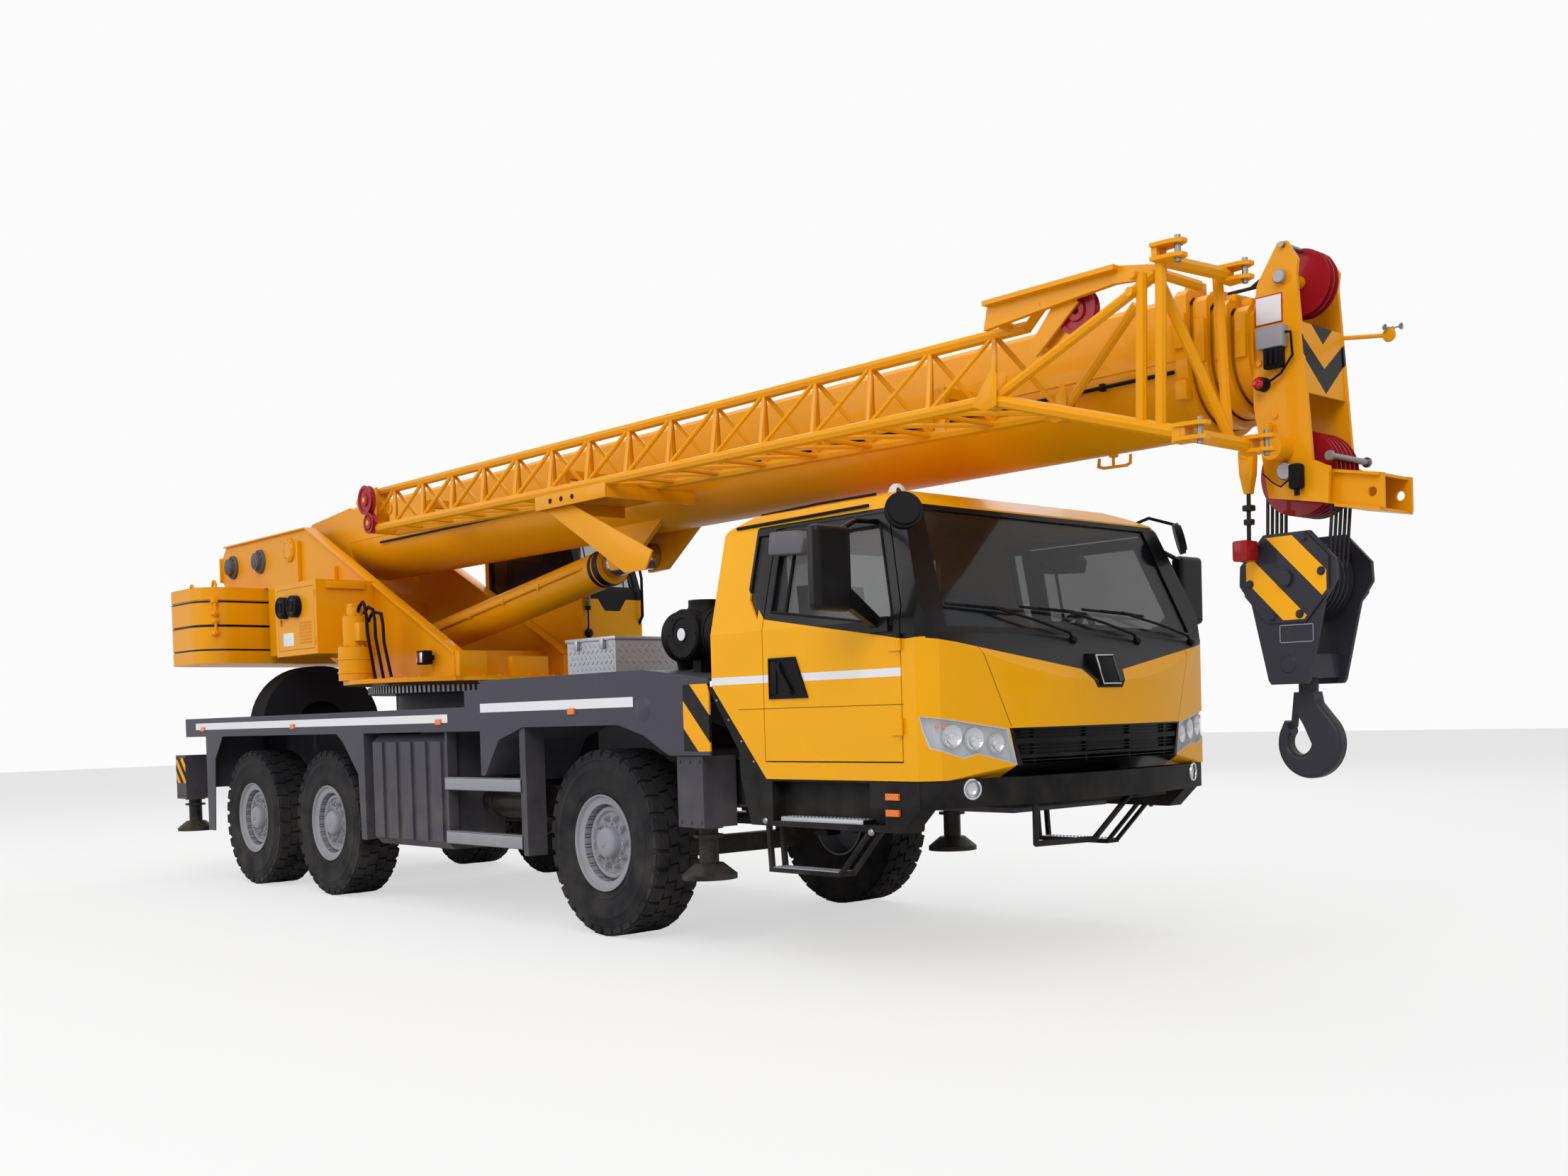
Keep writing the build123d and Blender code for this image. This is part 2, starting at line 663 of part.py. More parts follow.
def side_skirt():
    outline = [(1640, 812), (2900, 803), (3040, bumper_low), (3040, bumper_top), (1551, bumper_top)]
    skirt = side_plate(outline, skirt_inner, cab_half - bumper_in)
    recess = block(step_box["rear"], step_box["front"], cab_half - bumper_in - step_box["depth"], cab_half,
                   step_box["low"], step_box["high"])
    tread = block(1900, 2600, cab_half - 100, cab_half - 14, step_box["low"] - 1, step_box["low"] + 22)
    slope = [(1250.3, 1640), (1309.7, 1640), (1799.7, bumper_top), (1551, bumper_top + 1), (1540, 1250)]
    trim = side_plate(slope, skirt_inner, cab_half - bumper_in)
    hangers = [side_plate([(1765, 815), (1795, 815), (1815, 545), (1785, 545)], cab_half - 40, cab_half - 14),
               side_plate([(2630, 815), (2660, 815), (2395, 545), (2365, 545)], cab_half - 40, cab_half - 14),
               side_plate([(1765, 815), (1795, 815), (1815, 545), (1785, 545)], skirt_inner,
                          skirt_inner + 26),
               side_plate([(2630, 815), (2660, 815), (2395, 545), (2365, 545)], skirt_inner,
                          skirt_inner + 26)]
    step = block(1784, 2398, skirt_inner, cab_half - 14, 540, 566)
    return fuse(skirt - recess, tread, trim, hangers, step)


def bar_step():
    """A bent bar under the bumper, hung from two lugs."""
    places = [(-600, 985), (-600, 712), (-88, 700), (250, 930)]
    x = cab_nose_x - 75
    bars = []
    for (y0, z0), (y1, z1) in zip(places, places[1:]):
        bars += [rod_between((x, y0, z0), (x, y1, z1), 17), Pos(x, y1, z1) * Sphere(17)]
    return bars


def bumper():
    ring = cab_plan(bumper_in, bumper_low, bumper_top) - cab_plan(bumper_in + 60, bumper_low, bumper_top)
    ring = ring & block(2660, cab_nose_x, -cab_half, cab_half, bumper_low, bumper_top)
    for hole in both_sides(fog_hole(fog_radius)):
        ring = ring - hole
    undertray = floor_plate([(2990, -700), (3200, -700), (3250, -350), (3250, 350), (3200, 700),
                             (2990, 700)], 912, 960)
    carrier = block(rail_front_x + seat, 2992, -frame_half, frame_half, 900, frame_bottom + rail_depth)
    ties = both_sides(block(2990, cab_nose_x - 100, 300, 360, 912, 1070))
    bars = []
    bar_skin = cab_form(6) - cab_form(30)
    for low, high in grille_bars:
        strip = block(nose_range[0], nose_range[1], -nose_half, nose_half, low, high)
        bars += [bar_skin & cross_prism(grille, -seat, *nose_range) & strip]
    return loose(fuse(ring, both_sides(side_skirt()), undertray, carrier, ties, bar_step()), bars)


parts["front_bumper"] = bumper()


# marker lamps along the sides and at the bumper's ends
marker_thick = 14.0


def lamps():
    markers = []
    for x, z in ((-6900, 1455), (-4800, 1455), (-2150, 1455), (-300, 1500)):
        markers += both_sides(block(x, x + 80, body_half + seat, body_half + marker_thick, z, z + 40))
    face = cab_half - bumper_in
    for z in (895, 982):
        markers += both_sides(block(2792, 2892, face + seat, face + marker_thick, z, z + 36))
    return loose(markers)


parts["lamps"] = lamps()


# round mirrors that hang in front of the roof's corners
def mirror_head():
    bend = ((2690, cab_half - 260, 2600), (2800, cab_half - 150, 2660), (2930, cab_half - 45, 2610),
            (2943, cab_half - 40, 2530))
    arms = []
    for start, end in zip(bend, bend[1:]):
        arms += [rod_between(start, end, 10), Pos(*end) * Sphere(10)]
    face = Plane(origin=(2950, cab_half - 35, 2520), z_dir=(0.75, 0.6, 0.25))
    disc = extrude(face * Circle(102), 18, both=True) + extrude(face * Circle(84), 30)
    return fuse(arms, disc) - cab_outer


parts["mirrors"] = loose(both_sides(mirror_head()))


# seats, dashboard and steering wheel
def cab_interior():
    seats = []
    for y in (-620, 620):
        cushion = block(1750, 2240, y - 240, y + 240, cab_floor_z + 330, cab_floor_z + 450)
        back = side_plate([(1680, cab_floor_z + 430), (1790, cab_floor_z + 430), (1720, cab_floor_z + 1060),
                           (1610, cab_floor_z + 1060)], y - 230, y + 230)
        base = block(1820, 2180, y - 180, y + 180, cab_floor_z + seat, cab_floor_z + 331)
        seats += [cushion + back + base]
    dash = side_plate([(2780, cab_floor_z + seat), (2960, cab_floor_z + seat), (3030, 1700), (2900, 1830),
                       (2700, 1790), (2660, 1690), (2800, 1600)], -1080, 1080)
    column = rod_between((2545, 620, 1840), (2780, 620, 1700), 30)
    wheel_plane = Plane(origin=(2545, 620, 1840), z_dir=(-0.86, 0, 0.5))
    wheel = extrude(wheel_plane * (Circle(230) - Circle(200)), 28)
    spokes = [extrude(wheel_plane * Rectangle(400, 50), 20), extrude(wheel_plane * Rectangle(50, 400), 20)]
    return loose(seats, fuse(dash, column, wheel, spokes))


parts["cab_interior"] = cab_interior()

# engine between the rails and the air cleaner behind the cab
engine_body = block(-1350, -330, -frame_half + rail_width + 1, frame_half - rail_width - 1, 900, 1560)
engine_seat = block(-1350, -330, -frame_half, frame_half, frame_bottom + rail_depth + seat,
                    frame_bottom + rail_depth + 60)
parts["engine"] = engine_body + engine_seat
cleaner_x = 740.0
cleaner_y = 392 - body_half
cleaner_drum = rod_between((cleaner_x - 260, cleaner_y, 1990), (cleaner_x + 260, cleaner_y, 1990), 170)
cleaner_cap = upright(cleaner_x, cleaner_y, 110, 2100, 2215)
leg_feet = [(x, front_deck_top - (x - slope_start_x) * slope_drop + seat) for x in (cleaner_x - 40,
                                                                                    cleaner_x + 40)]
cleaner_leg = side_plate(leg_feet + [(cleaner_x + 40, 1900), (cleaner_x - 40, 1900)], cleaner_y - 80,
                         cleaner_y + 80)
parts["air_cleaner"] = cleaner_drum + cleaner_cap + cleaner_leg
parts["tool_box"] = block(-1400, -760, -560, 240, front_deck_top + seat, 2070)


# spare wheel standing across the tail
def spare_wheel():
    half = tyre_width / 2
    ring = stepped_ring([(bead_radius, -half + 40), (tyre_radius, -tread_width / 2),
                         (tyre_radius, tread_width / 2), (bead_radius, half - 40)])
    disc = turned([(0.0, -20), (bead_radius + 4, -60), (bead_radius + 4, 60), (0.0, 20)], 0, 0, 0, 1)
    return Pos(spare_x, 0, spare_z) * (Rot(0, 0, 90) * (ring + disc))


parts["spare_wheel"] = spare_wheel()


# turntable: round base, two side plates, cross walls, boom pivot pin and cylinder pin
upper_outline = [(-3100, turntable_top_z - 1), (-4900, turntable_top_z - 1), (-5700, 2200), (-6900, 2200),
                 (-6900, weight_top_z + seat), (upper_rear_x + 100, weight_top_z + seat),
                 (upper_rear_x, 3040),
                 (upper_rear_x, 3300), (upper_rear_x + 110, upper_top_z), (-5940, upper_top_z),
                 (-3320, 2160), (-3100, 2050)]


def turntable():
    base = upright(slew_x, 0, 1080, turntable_z, turntable_top_z)
    spread = block(slew_x - 200, -2980, -640, 640, turntable_z, turntable_top_z)
    race = upright(slew_x, 0, 700, ring_top_z + seat, turntable_z + 1)
    plates = both_sides(side_plate(upper_outline, plate_half - plate_thick, plate_half))
    inner = plate_half - plate_thick + 1
    walls = [block(-3480, -3450, -inner, inner, turntable_top_z - 1, 2100),
             block(-5720, -5690, -inner, inner, 2250, 2700),
             block(upper_rear_x + 2, upper_rear_x + 26, -inner, inner, 3060, 3300),
             block(-6890, -6860, -inner, inner, 2250, 2850)]
    pin = across(pivot_x, pivot_z, pivot_pin, -plate_half - 20, plate_half + 20)
    lugs = []
    for y0, y1 in ((-190, -150), (150, 190)):
        lugs += [side_plate([(lower_pin[0] - 180, turntable_top_z - 1),
                             (lower_pin[0] + 180, turntable_top_z - 1),
                             (lower_pin[0] + 90, lower_pin[1] + 100),
                             (lower_pin[0] - 90, lower_pin[1] + 100)], y0, y1)]
    cylinder = across(lower_pin[0], lower_pin[1], cylinder_pin, -200, 200)
    return fuse(base, spread, race, plates, walls, pin, lugs, cylinder)


# counterweight slabs with rounded ends
def counterweight():
    length = weight_front_x - weight_rear_x
    outline = Pos((weight_front_x + weight_rear_x) / 2, 0, 0) * RectangleRounded(length, 2 * weight_half, 300)
    inner = Pos((weight_front_x + weight_rear_x) / 2, 0, 0) * RectangleRounded(length - 24,
                                                                               2 * weight_half - 24, 290)
    core = extrude(Pos(0, 0, weight_bottom_z + 5) * inner, weight_top_z - weight_bottom_z - 10)
    slabs = []
    heights = ((0.0, 0.165), (0.185, 0.49), (0.51, 0.815), (0.835, 1.0))
    total = weight_top_z - weight_bottom_z
    for low, high in heights:
        slabs += [extrude(Pos(0, 0, weight_bottom_z + low * total) * outline, (high - low) * total)]
    whole = fuse(core, slabs)
    for y in (-lug_y, lug_y):
        for z in lug_zs:
            lug = block(weight_rear_x - lug_reach, weight_rear_x + 30, y - lug_width / 2, y + lug_width / 2,
                        z - 50, z + 50)
            bore = across(weight_rear_x - lug_reach + lug_bore_in, z, lug_bore_radius, y - lug_width,
                          y + lug_width)
            whole = whole + (lug - bore)
    return whole


parts["counterweight"] = counterweight()


# winch drums between the side plates, with their motors outside
def winch(x):
    inner = plate_half - plate_thick
    face = Pos(x, 0, winch_z)
    profile = [(0, -inner + seat), (205, -inner + seat), (205, -inner + 30), (140, -inner + 32),
               (140, inner - 32), (205, inner - 30), (205, inner - seat), (0, inner - seat)]
    drum = turned(profile, x, 0, winch_z, 1)
    return drum


def winch_motor(x):
    return across(x, winch_z, 85, -plate_half - 70, -plate_half - seat) + across(x, winch_z, 115,
                                                                                 -plate_half - 24,
                                                                                 -plate_half - seat)


parts["winches"] = loose([winch(x) for x in winch_xs], [winch_motor(x) for x in winch_xs])

# side box with its two round horns
box_outer = -1110.0
side_box = block(-5430, -4560, box_outer, -plate_half - seat, 2120, 2780)
for x in (-5200, -4960):
    side_box = side_box + across(x, 2560, 95, box_outer - 60, box_outer + 1)
parts["side_box"] = side_box

# slew drive beside the ring
drive_angle = math.radians(256)
drive_x = slew_x + (ring_radius + 95) * math.cos(drive_angle)
drive_y = (ring_radius + 95) * math.sin(drive_angle)
parts["turntable"] = fuse(turntable(), upright(drive_x, drive_y, 150, turntable_top_z + seat, 2150),
                           upright(drive_x, drive_y, 105, 2149, 2420),
                           upright(drive_x, drive_y, 70, 2419, 2500))


# operator's cab on the left of the boom
op = {"front": -2950.0, "rear": -4600.0, "inner": 600.0, "outer": 1240.0, "low": 1905.0, "high": 3380.0,
      "wall": 40.0}
op_outline = [(op["rear"], op["low"]), (op["front"] - 120, op["low"]), (op["front"], 2100),
              (op["front"], 2620),
              (op["front"] - 300, op["high"]), (op["rear"] + 60, op["high"]), (op["rear"], op["high"] - 80)]
op_side_window = [(op["rear"] + 110, 2560), (op["front"] - 110, 2560), (op["front"] - 380, 3300),
                  (op["rear"] + 110, 3300)]
op_door_zone = [(op["rear"] + 560, 1990), (op["front"] - 100, 1990), (op["front"] - 100, 2620),
                (op["front"] - 350, 3310), (op["rear"] + 560, 3310)]


def op_form(inset):
    plane = Plane(origin=(0, op["outer"] - inset, 0), x_dir=(1, 0, 0), z_dir=(0, -1, 0))
    return extrude(plane * grown(op_outline, -inset), op["outer"] - op["inner"] - 2 * inset)


op_shell = op_form(0) - op_form(op["wall"])
op_front_window = [(op["inner"] + 60, 2660), (op["outer"] - 60, 2660), (op["outer"] - 60, 3340),
                   (op["inner"] + 60, 3340)]
op_cut_front = cross_prism(op_front_window, 0, op["front"] - 500, op["front"] + 50)
op_cut_inner = side_prism(op_side_window, 0, op["inner"] - 50, op["inner"] + 80)
op_cut_door = side_prism(op_door_zone, 0, op["outer"] - 80, op["outer"] + 50)
op_skin = op_form(10) - op_form(10 + glass_thick)
parts["op_cab_shell"] = op_shell - op_cut_front - op_cut_inner - op_cut_door
parts["op_cab_shell"] = parts["op_cab_shell"] + block(op["rear"] + 100, op["front"] - 300, op["inner"],
                                                      op["outer"] - 100,
                                                     turntable_top_z + seat, op["low"] + 1)
parts["op_cab_glass"] = loose(op_skin & cross_prism(op_front_window, -seat, op["front"] - 500,
                                                    op["front"] + 50),
                              op_skin & side_prism(op_side_window, -seat, op["inner"] - 50, op["inner"] + 80))
op_door_plate = side_prism(op_door_zone, 25, op["outer"] + running, op["outer"] + running + 30)
op_rollers = [block(x, x + 90, op["outer"] + seat, op["outer"] + running + 1, z, z + 24)
              for x in (op["rear"] + 600, op["front"] - 450) for z in (1968, 3312)]
parts["op_cab_door"] = fuse(op_door_plate - side_prism(op_door_zone, -70, op["outer"], op["outer"] + 60),
                            op_rollers)
op_seat_y = (op["inner"] + op["outer"]) / 2
parts["op_seat"] = fuse(block(-4250, -3750, op_seat_y - 230, op_seat_y + 230, 2300, 2420),
                        block(-4350, -4230, op_seat_y - 230, op_seat_y + 230, 2350, 3000),
                        block(-4150, -3850, op_seat_y - 150, op_seat_y + 150, op["low"] + op["wall"] + seat,
                              2301))


# boom sections. Each one is a U with a flat top and a round bottom.
def u_outline(half, bottom, top, inset=0.0):
    half, bottom, top = half - inset, bottom + inset, top - inset
    centre = bottom + half
    lower = ThreePointArc((-half, centre), (0, bottom), (half, centre))
    upper = Polyline((half, centre), (half, top - 30), (half - 30, top), (-half + 30, top),
                     (-half, top - 30), (-half, centre))
    return make_face([lower, upper])


def u_tube(half, bottom, top, x0, x1, wall):
    plane = Plane(origin=(x0, 0, 0), x_dir=(0, 1, 0), z_dir=(1, 0, 0))
    outer = extrude(plane * u_outline(half, bottom, top), x1 - x0)
    inner = extrude(plane * u_outline(half, bottom, top, wall), x1 - x0)
    return outer - inner


section_drop = boom_wall + section_gap


def section_size(number):
    """Half width, bottom and top of a section; number 0 is the base section."""
    drop = number * section_drop
    return boom_half - drop, boom_bottom_z + drop, boom_top_z - drop


def boom_section(number):
    half, bottom, top = section_size(number)
    x0 = boom_box_rear_x + number * section_inset
    x1 = boom_front_x + number * section_step
    tube = u_tube(half, bottom, top, x0, x1, boom_wall)
    out_half, out_bottom, out_top = half + section_gap - 4, bottom - section_gap + 4, top + section_gap - 4
    collar_x0 = boom_front_x + (number - 1) * section_step + 16 if number else x1 - collar_length
    plane = Plane(origin=(collar_x0, 0, 0), x_dir=(0, 1, 0), z_dir=(1, 0, 0))
    collar = extrude(plane * u_outline(out_half, out_bottom, out_top), x1 - collar_x0)
    hollow = extrude(plane * u_outline(half, bottom, top, boom_wall), x1 - collar_x0)
    tube = tube + (collar - hollow)
    if number < 3:
        pad_plane = Plane(origin=(x1 - 200, 0, 0), x_dir=(0, 1, 0), z_dir=(1, 0, 0))
        pad = extrude(pad_plane * u_outline(half, bottom, top, boom_wall - 1), 90)
        passage = extrude(pad_plane * u_outline(half, bottom, top, section_drop - pin_gap), 90)
        tube = tube + (pad - passage)
    return tube


def boom_base():
    tube = boom_section(0)
    half, bottom, top = section_size(0)
    tail_outline = [(boom_box_rear_x + 1, bottom + 2), (boom_box_rear_x + 1, top - 2),
                    (pivot_x + 60, pivot_z + 260), (pivot_x - 120, pivot_z + 160),
                    (pivot_x - 150, pivot_z - 60), (pivot_x - 40, pivot_z - 150),
                    (pivot_x + 150, pivot_z - 160)]
    ears = both_sides(side_plate(tail_outline, half - 60, half))
    bore = across(pivot_x, pivot_z, pivot_pin + pin_gap, -600, 600)
    boss = both_sides(across(pivot_x, pivot_z, 125, half - 61, half + 20))
    back = cross_plate([(-half + 1, bottom + half), (half - 1, bottom + half), (half - 31, top - 1),
                        (-half + 31, top - 1)],
                       boom_box_rear_x, boom_box_rear_x + 20)
    bracket = []
    x, z = upper_pin
    for y0, y1 in ((-200, -160), (160, 200)):
        bracket += [side_plate([(x - 330, bottom + 120), (x + 700, bottom + 120), (x + 160, z - 110),
                                (x - 70, z - 120), (x - 130, z)], y0, y1)]
    bracket_plates = fuse(bracket)
    cavity = u_tube(half, bottom, top, boom_box_rear_x, boom_front_x, boom_wall)
    inner_plane = Plane(origin=(boom_box_rear_x, 0, 0), x_dir=(0, 1, 0), z_dir=(1, 0, 0))
    inner = extrude(inner_plane * u_outline(half, bottom, top, boom_wall - 2), boom_front_x - boom_box_rear_x)
    pin = across(x, z, cylinder_pin, -215, -158) + across(x, z, cylinder_pin, 158, 215)
    return fuse(tube, ears, boss, back, bracket_plates - inner, pin) - bore


parts["boom_base"] = boom_base()
parts["boom_section_2"] = boom_section(1)
parts["boom_section_3"] = boom_section(2)


# boom head, welded to the last section's end
def nose_bracket():
    """Two bored plates between a lower and an upper flange, in front of the low sheaves."""
    tip = front_reach_x
    side = side_plate([(bracket_x, 2430), (tip, 2370), (tip, 2540), (bracket_x, 2600)], nose_plate_y,
                      nose_plate_y + nose_plate)
    bore = across(nose_bore_x, nose_bore_z, nose_bore_radius, nose_plate_y - 1, nose_plate_y + nose_plate + 1)
    webs = both_sides(block(bracket_x, bracket_x + 20, nose_plate_y + 5, head_half - 1, 2440, 2590))
    tie = block(tip - 170, tip - 150, -nose_plate_y - 1, nose_plate_y + 1, 2420, 2530)
    reach = nose_plate_y + nose_plate + 22
    flanges = []
    for low, high in ((2404, 2418), (2571, 2585)):
        flanges += [side_plate([(bracket_x + 70, low), (tip - 15, low - 44), (tip - 15, high - 44),
                                (bracket_x + 70, high)],
                               -reach, reach)]
    return fuse(both_sides(side - bore), webs, tie, flanges)


def boom_head():
    half, bottom, top = section_size(3)
    flange_x = boom_front_x + 3 * section_step + seat
    flange_plane = Plane(origin=(flange_x, 0, 0), x_dir=(0, 1, 0), z_dir=(1, 0, 0))
    flange = extrude(flange_plane * u_outline(half, bottom, top), flange_thick)
    outline = [(flange_x, top - 60), (flange_x, 2950), (head_x + 75, 2480), (head_x + 405, 2420),
               (head_x + 415, 2600),
               (head_x + 325, 2630), (head_x + 255, 3560), (head_x + 265, 3640), (head_x + 205, 3740),
               (head_x + 155, 3740), (head_x + 35, 3560)]
    plates = both_sides(side_plate(outline, head_half - head_plate, head_half))
    front = side_plate([(head_x + 287, 2980), (head_x + 270, 3330), (head_x + 255, 3330),
                        (head_x + 272, 2980)],
                       5 - head_half, head_half - 5)
    back = block(flange_x, flange_x + flange_thick, 5 - head_half, head_half - 5, 2960, bottom + 60)
    pins = [across(x, z, sheave_pin, -head_half - 20, head_half + 20) for x, z,
            radius in (top_sheave, low_sheave)]
    jib_lug = across(head_x + 165, 2710, 60, 1 - head_half, -head_half - 118)
    return fuse(flange, plates, front, back, pins, jib_lug, nose_bracket())


parts["boom_section_4"] = boom_section(3)
parts["boom_head"] = boom_head()


def sheave_pack(x, z, radius, grooves, bore):
    """Sheaves side by side on one pin, as one turned piece."""
    start = -sheave_width * grooves / 2
    profile = [(bore, start), (radius, start)]
    for number in range(grooves):
        low = start + number * sheave_width
        high = low + sheave_width
        bottom = radius - groove_depth
        profile += [(radius, low + 4), (bottom, low + 11), (bottom, high - 11), (radius, high - 4)]
    profile += [(radius, -start), (bore, -start)]
    return turned(profile, x, 0, z, 1)


parts["head_sheaves"] = loose(sheave_pack(*top_sheave, 2, sheave_pin + pin_gap),
                              sheave_pack(*low_sheave, 5, sheave_pin + pin_gap))


# stowed lattice jib on the right of the boom. The columns give a station's x, the y of the near, far and
# upper chord, and the height of the lower chords and of the upper one.
jib_tail = {"x": -3570.0, "near": -1080.0, "far": -820.0, "ridge": -950.0, "low": 3110.0, "high": 3440.0}
jib_root = {"x": head_x - 985, "near": -1080.0, "far": -520.0, "ridge": -790.0, "low": 3040.0, "high": 3460.0}
jib_chord = 34.0
jib_brace = 15.0
jib_strut = 27.0
jib_bays = 15
jib_hanger_xs = (-3000.0, -1100.0, 2600.0)
jib_low_fork = (head_x + 165, 2700.0)      # x and z where the lower forks start
jib_high_fork = (head_x + 65, 3545.0)
fork_length = 120.0
fork_gap = 46.0
fork_plate = 18.0


def jib_points(x):
    """The near, far and upper chord's middles at x."""
    share = (x - jib_tail["x"]) / (jib_root["x"] - jib_tail["x"])
    at = {key: jib_tail[key] + share * (jib_root[key] - jib_tail[key]) for key in jib_tail}
    return (x, at["near"], at["low"]), (x, at["far"], at["low"]), (x, at["ridge"], at["high"])


def fork(x, y, z, drop):
    """Two bored plates, one above the other, that point forwards from a tube's end."""
    bend = x + fork_length * 0.6
    outline = [(x - 40, y - 55), (bend, y - 45), (x + fork_length, y - 20), (x + fork_length, y + 20),
               (bend, y + 45), (x - 40, y + 55)]
    plates = []
    for low in (z - drop, z - drop + fork_gap + fork_plate):
        bore = upright(x + fork_length - 45, y, 16, low - 1, low + fork_plate + 1)
        plates += [floor_plate(outline, low, low + fork_plate) - bore]
    web = block(x - 40, x - 10, y - 40, y + 40, z - drop + 1, z - drop + fork_gap + fork_plate + 1)
    return plates + [web]


def jib_lattice():
    ends = jib_points(jib_tail["x"]), jib_points(jib_root["x"])
    bars = [rod_between(start, end, jib_chord, 8) for start, end in zip(*ends)]
    pitch = (jib_root["x"] - jib_tail["x"]) / jib_bays
    for number in range(jib_bays):
        here = jib_points(jib_tail["x"] + number * pitch)
        half = jib_points(jib_tail["x"] + (number + 0.5) * pitch)
        ahead = jib_points(jib_tail["x"] + (number + 1) * pitch)
        for side in (0, 1):
            bars += [rod_between(here[side], half[2], jib_brace, 6),
                     rod_between(half[2], ahead[side], jib_brace, 6)]
        bars += [rod_between(here[0], ahead[1], jib_brace, 6), rod_between(here[0], here[1], jib_brace, 6)]
    return bars


def jib_root_frame():
    """The four-legged frame that pins to the boom head, with its box beam on top."""
    near, far, ridge = jib_points(jib_root["x"])
    low_x, low_z = jib_low_fork
    high_x, high_z = jib_high_fork
    near_low, far_low = (low_x, near[1], low_z), (low_x, far[1], low_z)
    near_high, far_high = (high_x, near[1], high_z - 30), (high_x, far[1], high_z)
    beam_front = (high_x - 90, near[1] + 90, high_z - 60)
    chords = ((near, near_low), (far, far_low), (near_low, far_low), (near_high, far_high))
    struts = ((near, beam_front), (far, (high_x - 530, far[1] - 30, high_z - 40)),
              ((high_x - 130, near[1], low_z + 70), (high_x - 110, near[1], high_z - 70)),
              ((high_x - 20, near[1], low_z + 35), near_high),
              ((high_x - 20, far[1], low_z + 35), (high_x - 60, far[1], high_z)),
              (beam_front, (low_x - 40, far[1] - 90, low_z + 8)))
    bars = [rod_between(start, end, jib_chord, 8) for start, end in chords]
    bars += [rod_between(start, end, jib_strut, 8) for start, end in struts]
    bars += [Pos(*place) * Box(70, 76, 90) for place in (near_low, far_low, near, far)]
    web_y = near[1] + 120
    rear_x, front_x = near[0] - 120, high_x - 60
    beam = [(rear_x - 30, 3440), (rear_x, 3560), (front_x - 260, 3580), (front_x, 3530), (front_x, 3470),
            (front_x - 290, 3500), (rear_x + 370, 3470)]
    bars += [side_plate(beam, web_y - 16, web_y + 16), block(rear_x, front_x - 260, web_y - 60, web_y + 60,
                                                             3556, 3580)]
    bars += [rod_between((rear_x + 10, web_y, 3500), (rear_x + 10, ridge[1], 3470), jib_strut, 8),
             rod_between(ridge, (rear_x + 370, web_y, 3500), jib_strut, 8),
             rod_between((front_x - 110, web_y, 3530), (front_x - 110, far[1], 3530), jib_strut, 8)]
    arm_x = rear_x + 230
    arm = [(arm_x, 3290), (arm_x + 60, 3250), (arm_x + 340, 3470), (arm_x + 300, 3520), (arm_x + 200, 3510)]
    bars += [side_plate(arm, web_y + 20, web_y + 34), side_plate(arm, web_y + 86, web_y + 100),
             across(arm_x + 80, 3300, 18, web_y + 19, web_y + 101),
             block(arm_x + 180, arm_x + 300, web_y + 10, web_y + 101, 3480, 3500)]
    for y in (near[1], far[1]):
        bars += fork(low_x + 20, y, low_z, 41) + fork(high_x + 15, y, high_z, 41)
    return bars


def lattice_jib():
    near, far, ridge = jib_points(jib_tail["x"])
    x, low, high = jib_tail["x"], jib_tail["low"], jib_tail["high"]
    tail = [(x + 20, low - 30), (x + 20, high + 30), (x - 300, high + 10), (x - 360, high - 60),
            (x - 300, high - 140)]
    cheeks = [side_plate(tail, ridge[1] + inner, ridge[1] + inner + 16) for inner in (-58, 42)]
    cheeks += [rod_between((near[0], near[1] - 20, near[2]), (far[0], far[1] + 20, far[2]), 30, 8)]
    cheeks += [block(x - 10, x + 10, ridge[1] - 57, ridge[1] + 57, low - 20, high + 20)]
    sheave = across(x - 270, high - 60, 95, ridge[1] - 30, ridge[1] + 30)
    sheave = sheave + across(x - 270, high - 60, 20, ridge[1] - 70, ridge[1] + 70)
    hangers = []
    arm_z = boom_bottom_z + boom_half + 20
    for x in jib_hanger_xs:
        chord_y, chord_z = jib_points(x)[1][1:]
        hangers += [block(x - 40, x + 40, chord_y - 10, -boom_half - seat, arm_z, arm_z + 60),
                    block(x - 40, x + 40, chord_y - 30, chord_y + 10, chord_z - 10, arm_z + 60)]
    return fuse(jib_lattice(), jib_root_frame(), cheeks, sheave, hangers)


parts["lattice_jib"] = lattice_jib()


# luffing cylinder
def cylinder_axis():
    start = Vector(lower_pin[0], 0, lower_pin[1])
    end = Vector(upper_pin[0], 0, upper_pin[1])
    return start, end, (end - start).normalized()


cyl_start, cyl_end, cyl_dir = cylinder_axis()
barrel_end = cyl_end - cyl_dir * 330
rod_base = cyl_start + cyl_dir * 420


def luff_barrel():
    body = rod_between(tuple(cyl_start + cyl_dir * 150), tuple(barrel_end), barrel_radius)
    bore = rod_between(tuple(rod_base - cyl_dir * 40), tuple(barrel_end - cyl_dir * 60), rod_radius + running)
    bore = bore + rod_between(tuple(barrel_end - cyl_dir * 61), tuple(barrel_end + cyl_dir * 5),
                              rod_radius + seat)
    eye = across(lower_pin[0], lower_pin[1], 130, -140, 140)
    neck = rod_between(tuple(cyl_start), tuple(cyl_start + cyl_dir * 160), 110)
    hole = across(lower_pin[0], lower_pin[1], cylinder_pin + pin_gap, -200, 200)
    return body + eye + neck - bore - hole


def luff_rod():
    body = rod_between(tuple(rod_base), tuple(cyl_end - cyl_dir * 60), rod_radius)
    eye = across(upper_pin[0], upper_pin[1], 105, -150, 150)
    return body + eye


parts["luff_barrel"] = luff_barrel()
parts["luff_rod"] = luff_rod()


# hook block, its ropes and the hook
cheek_y = (165.0, 190.0)
cover_thick = 12.0


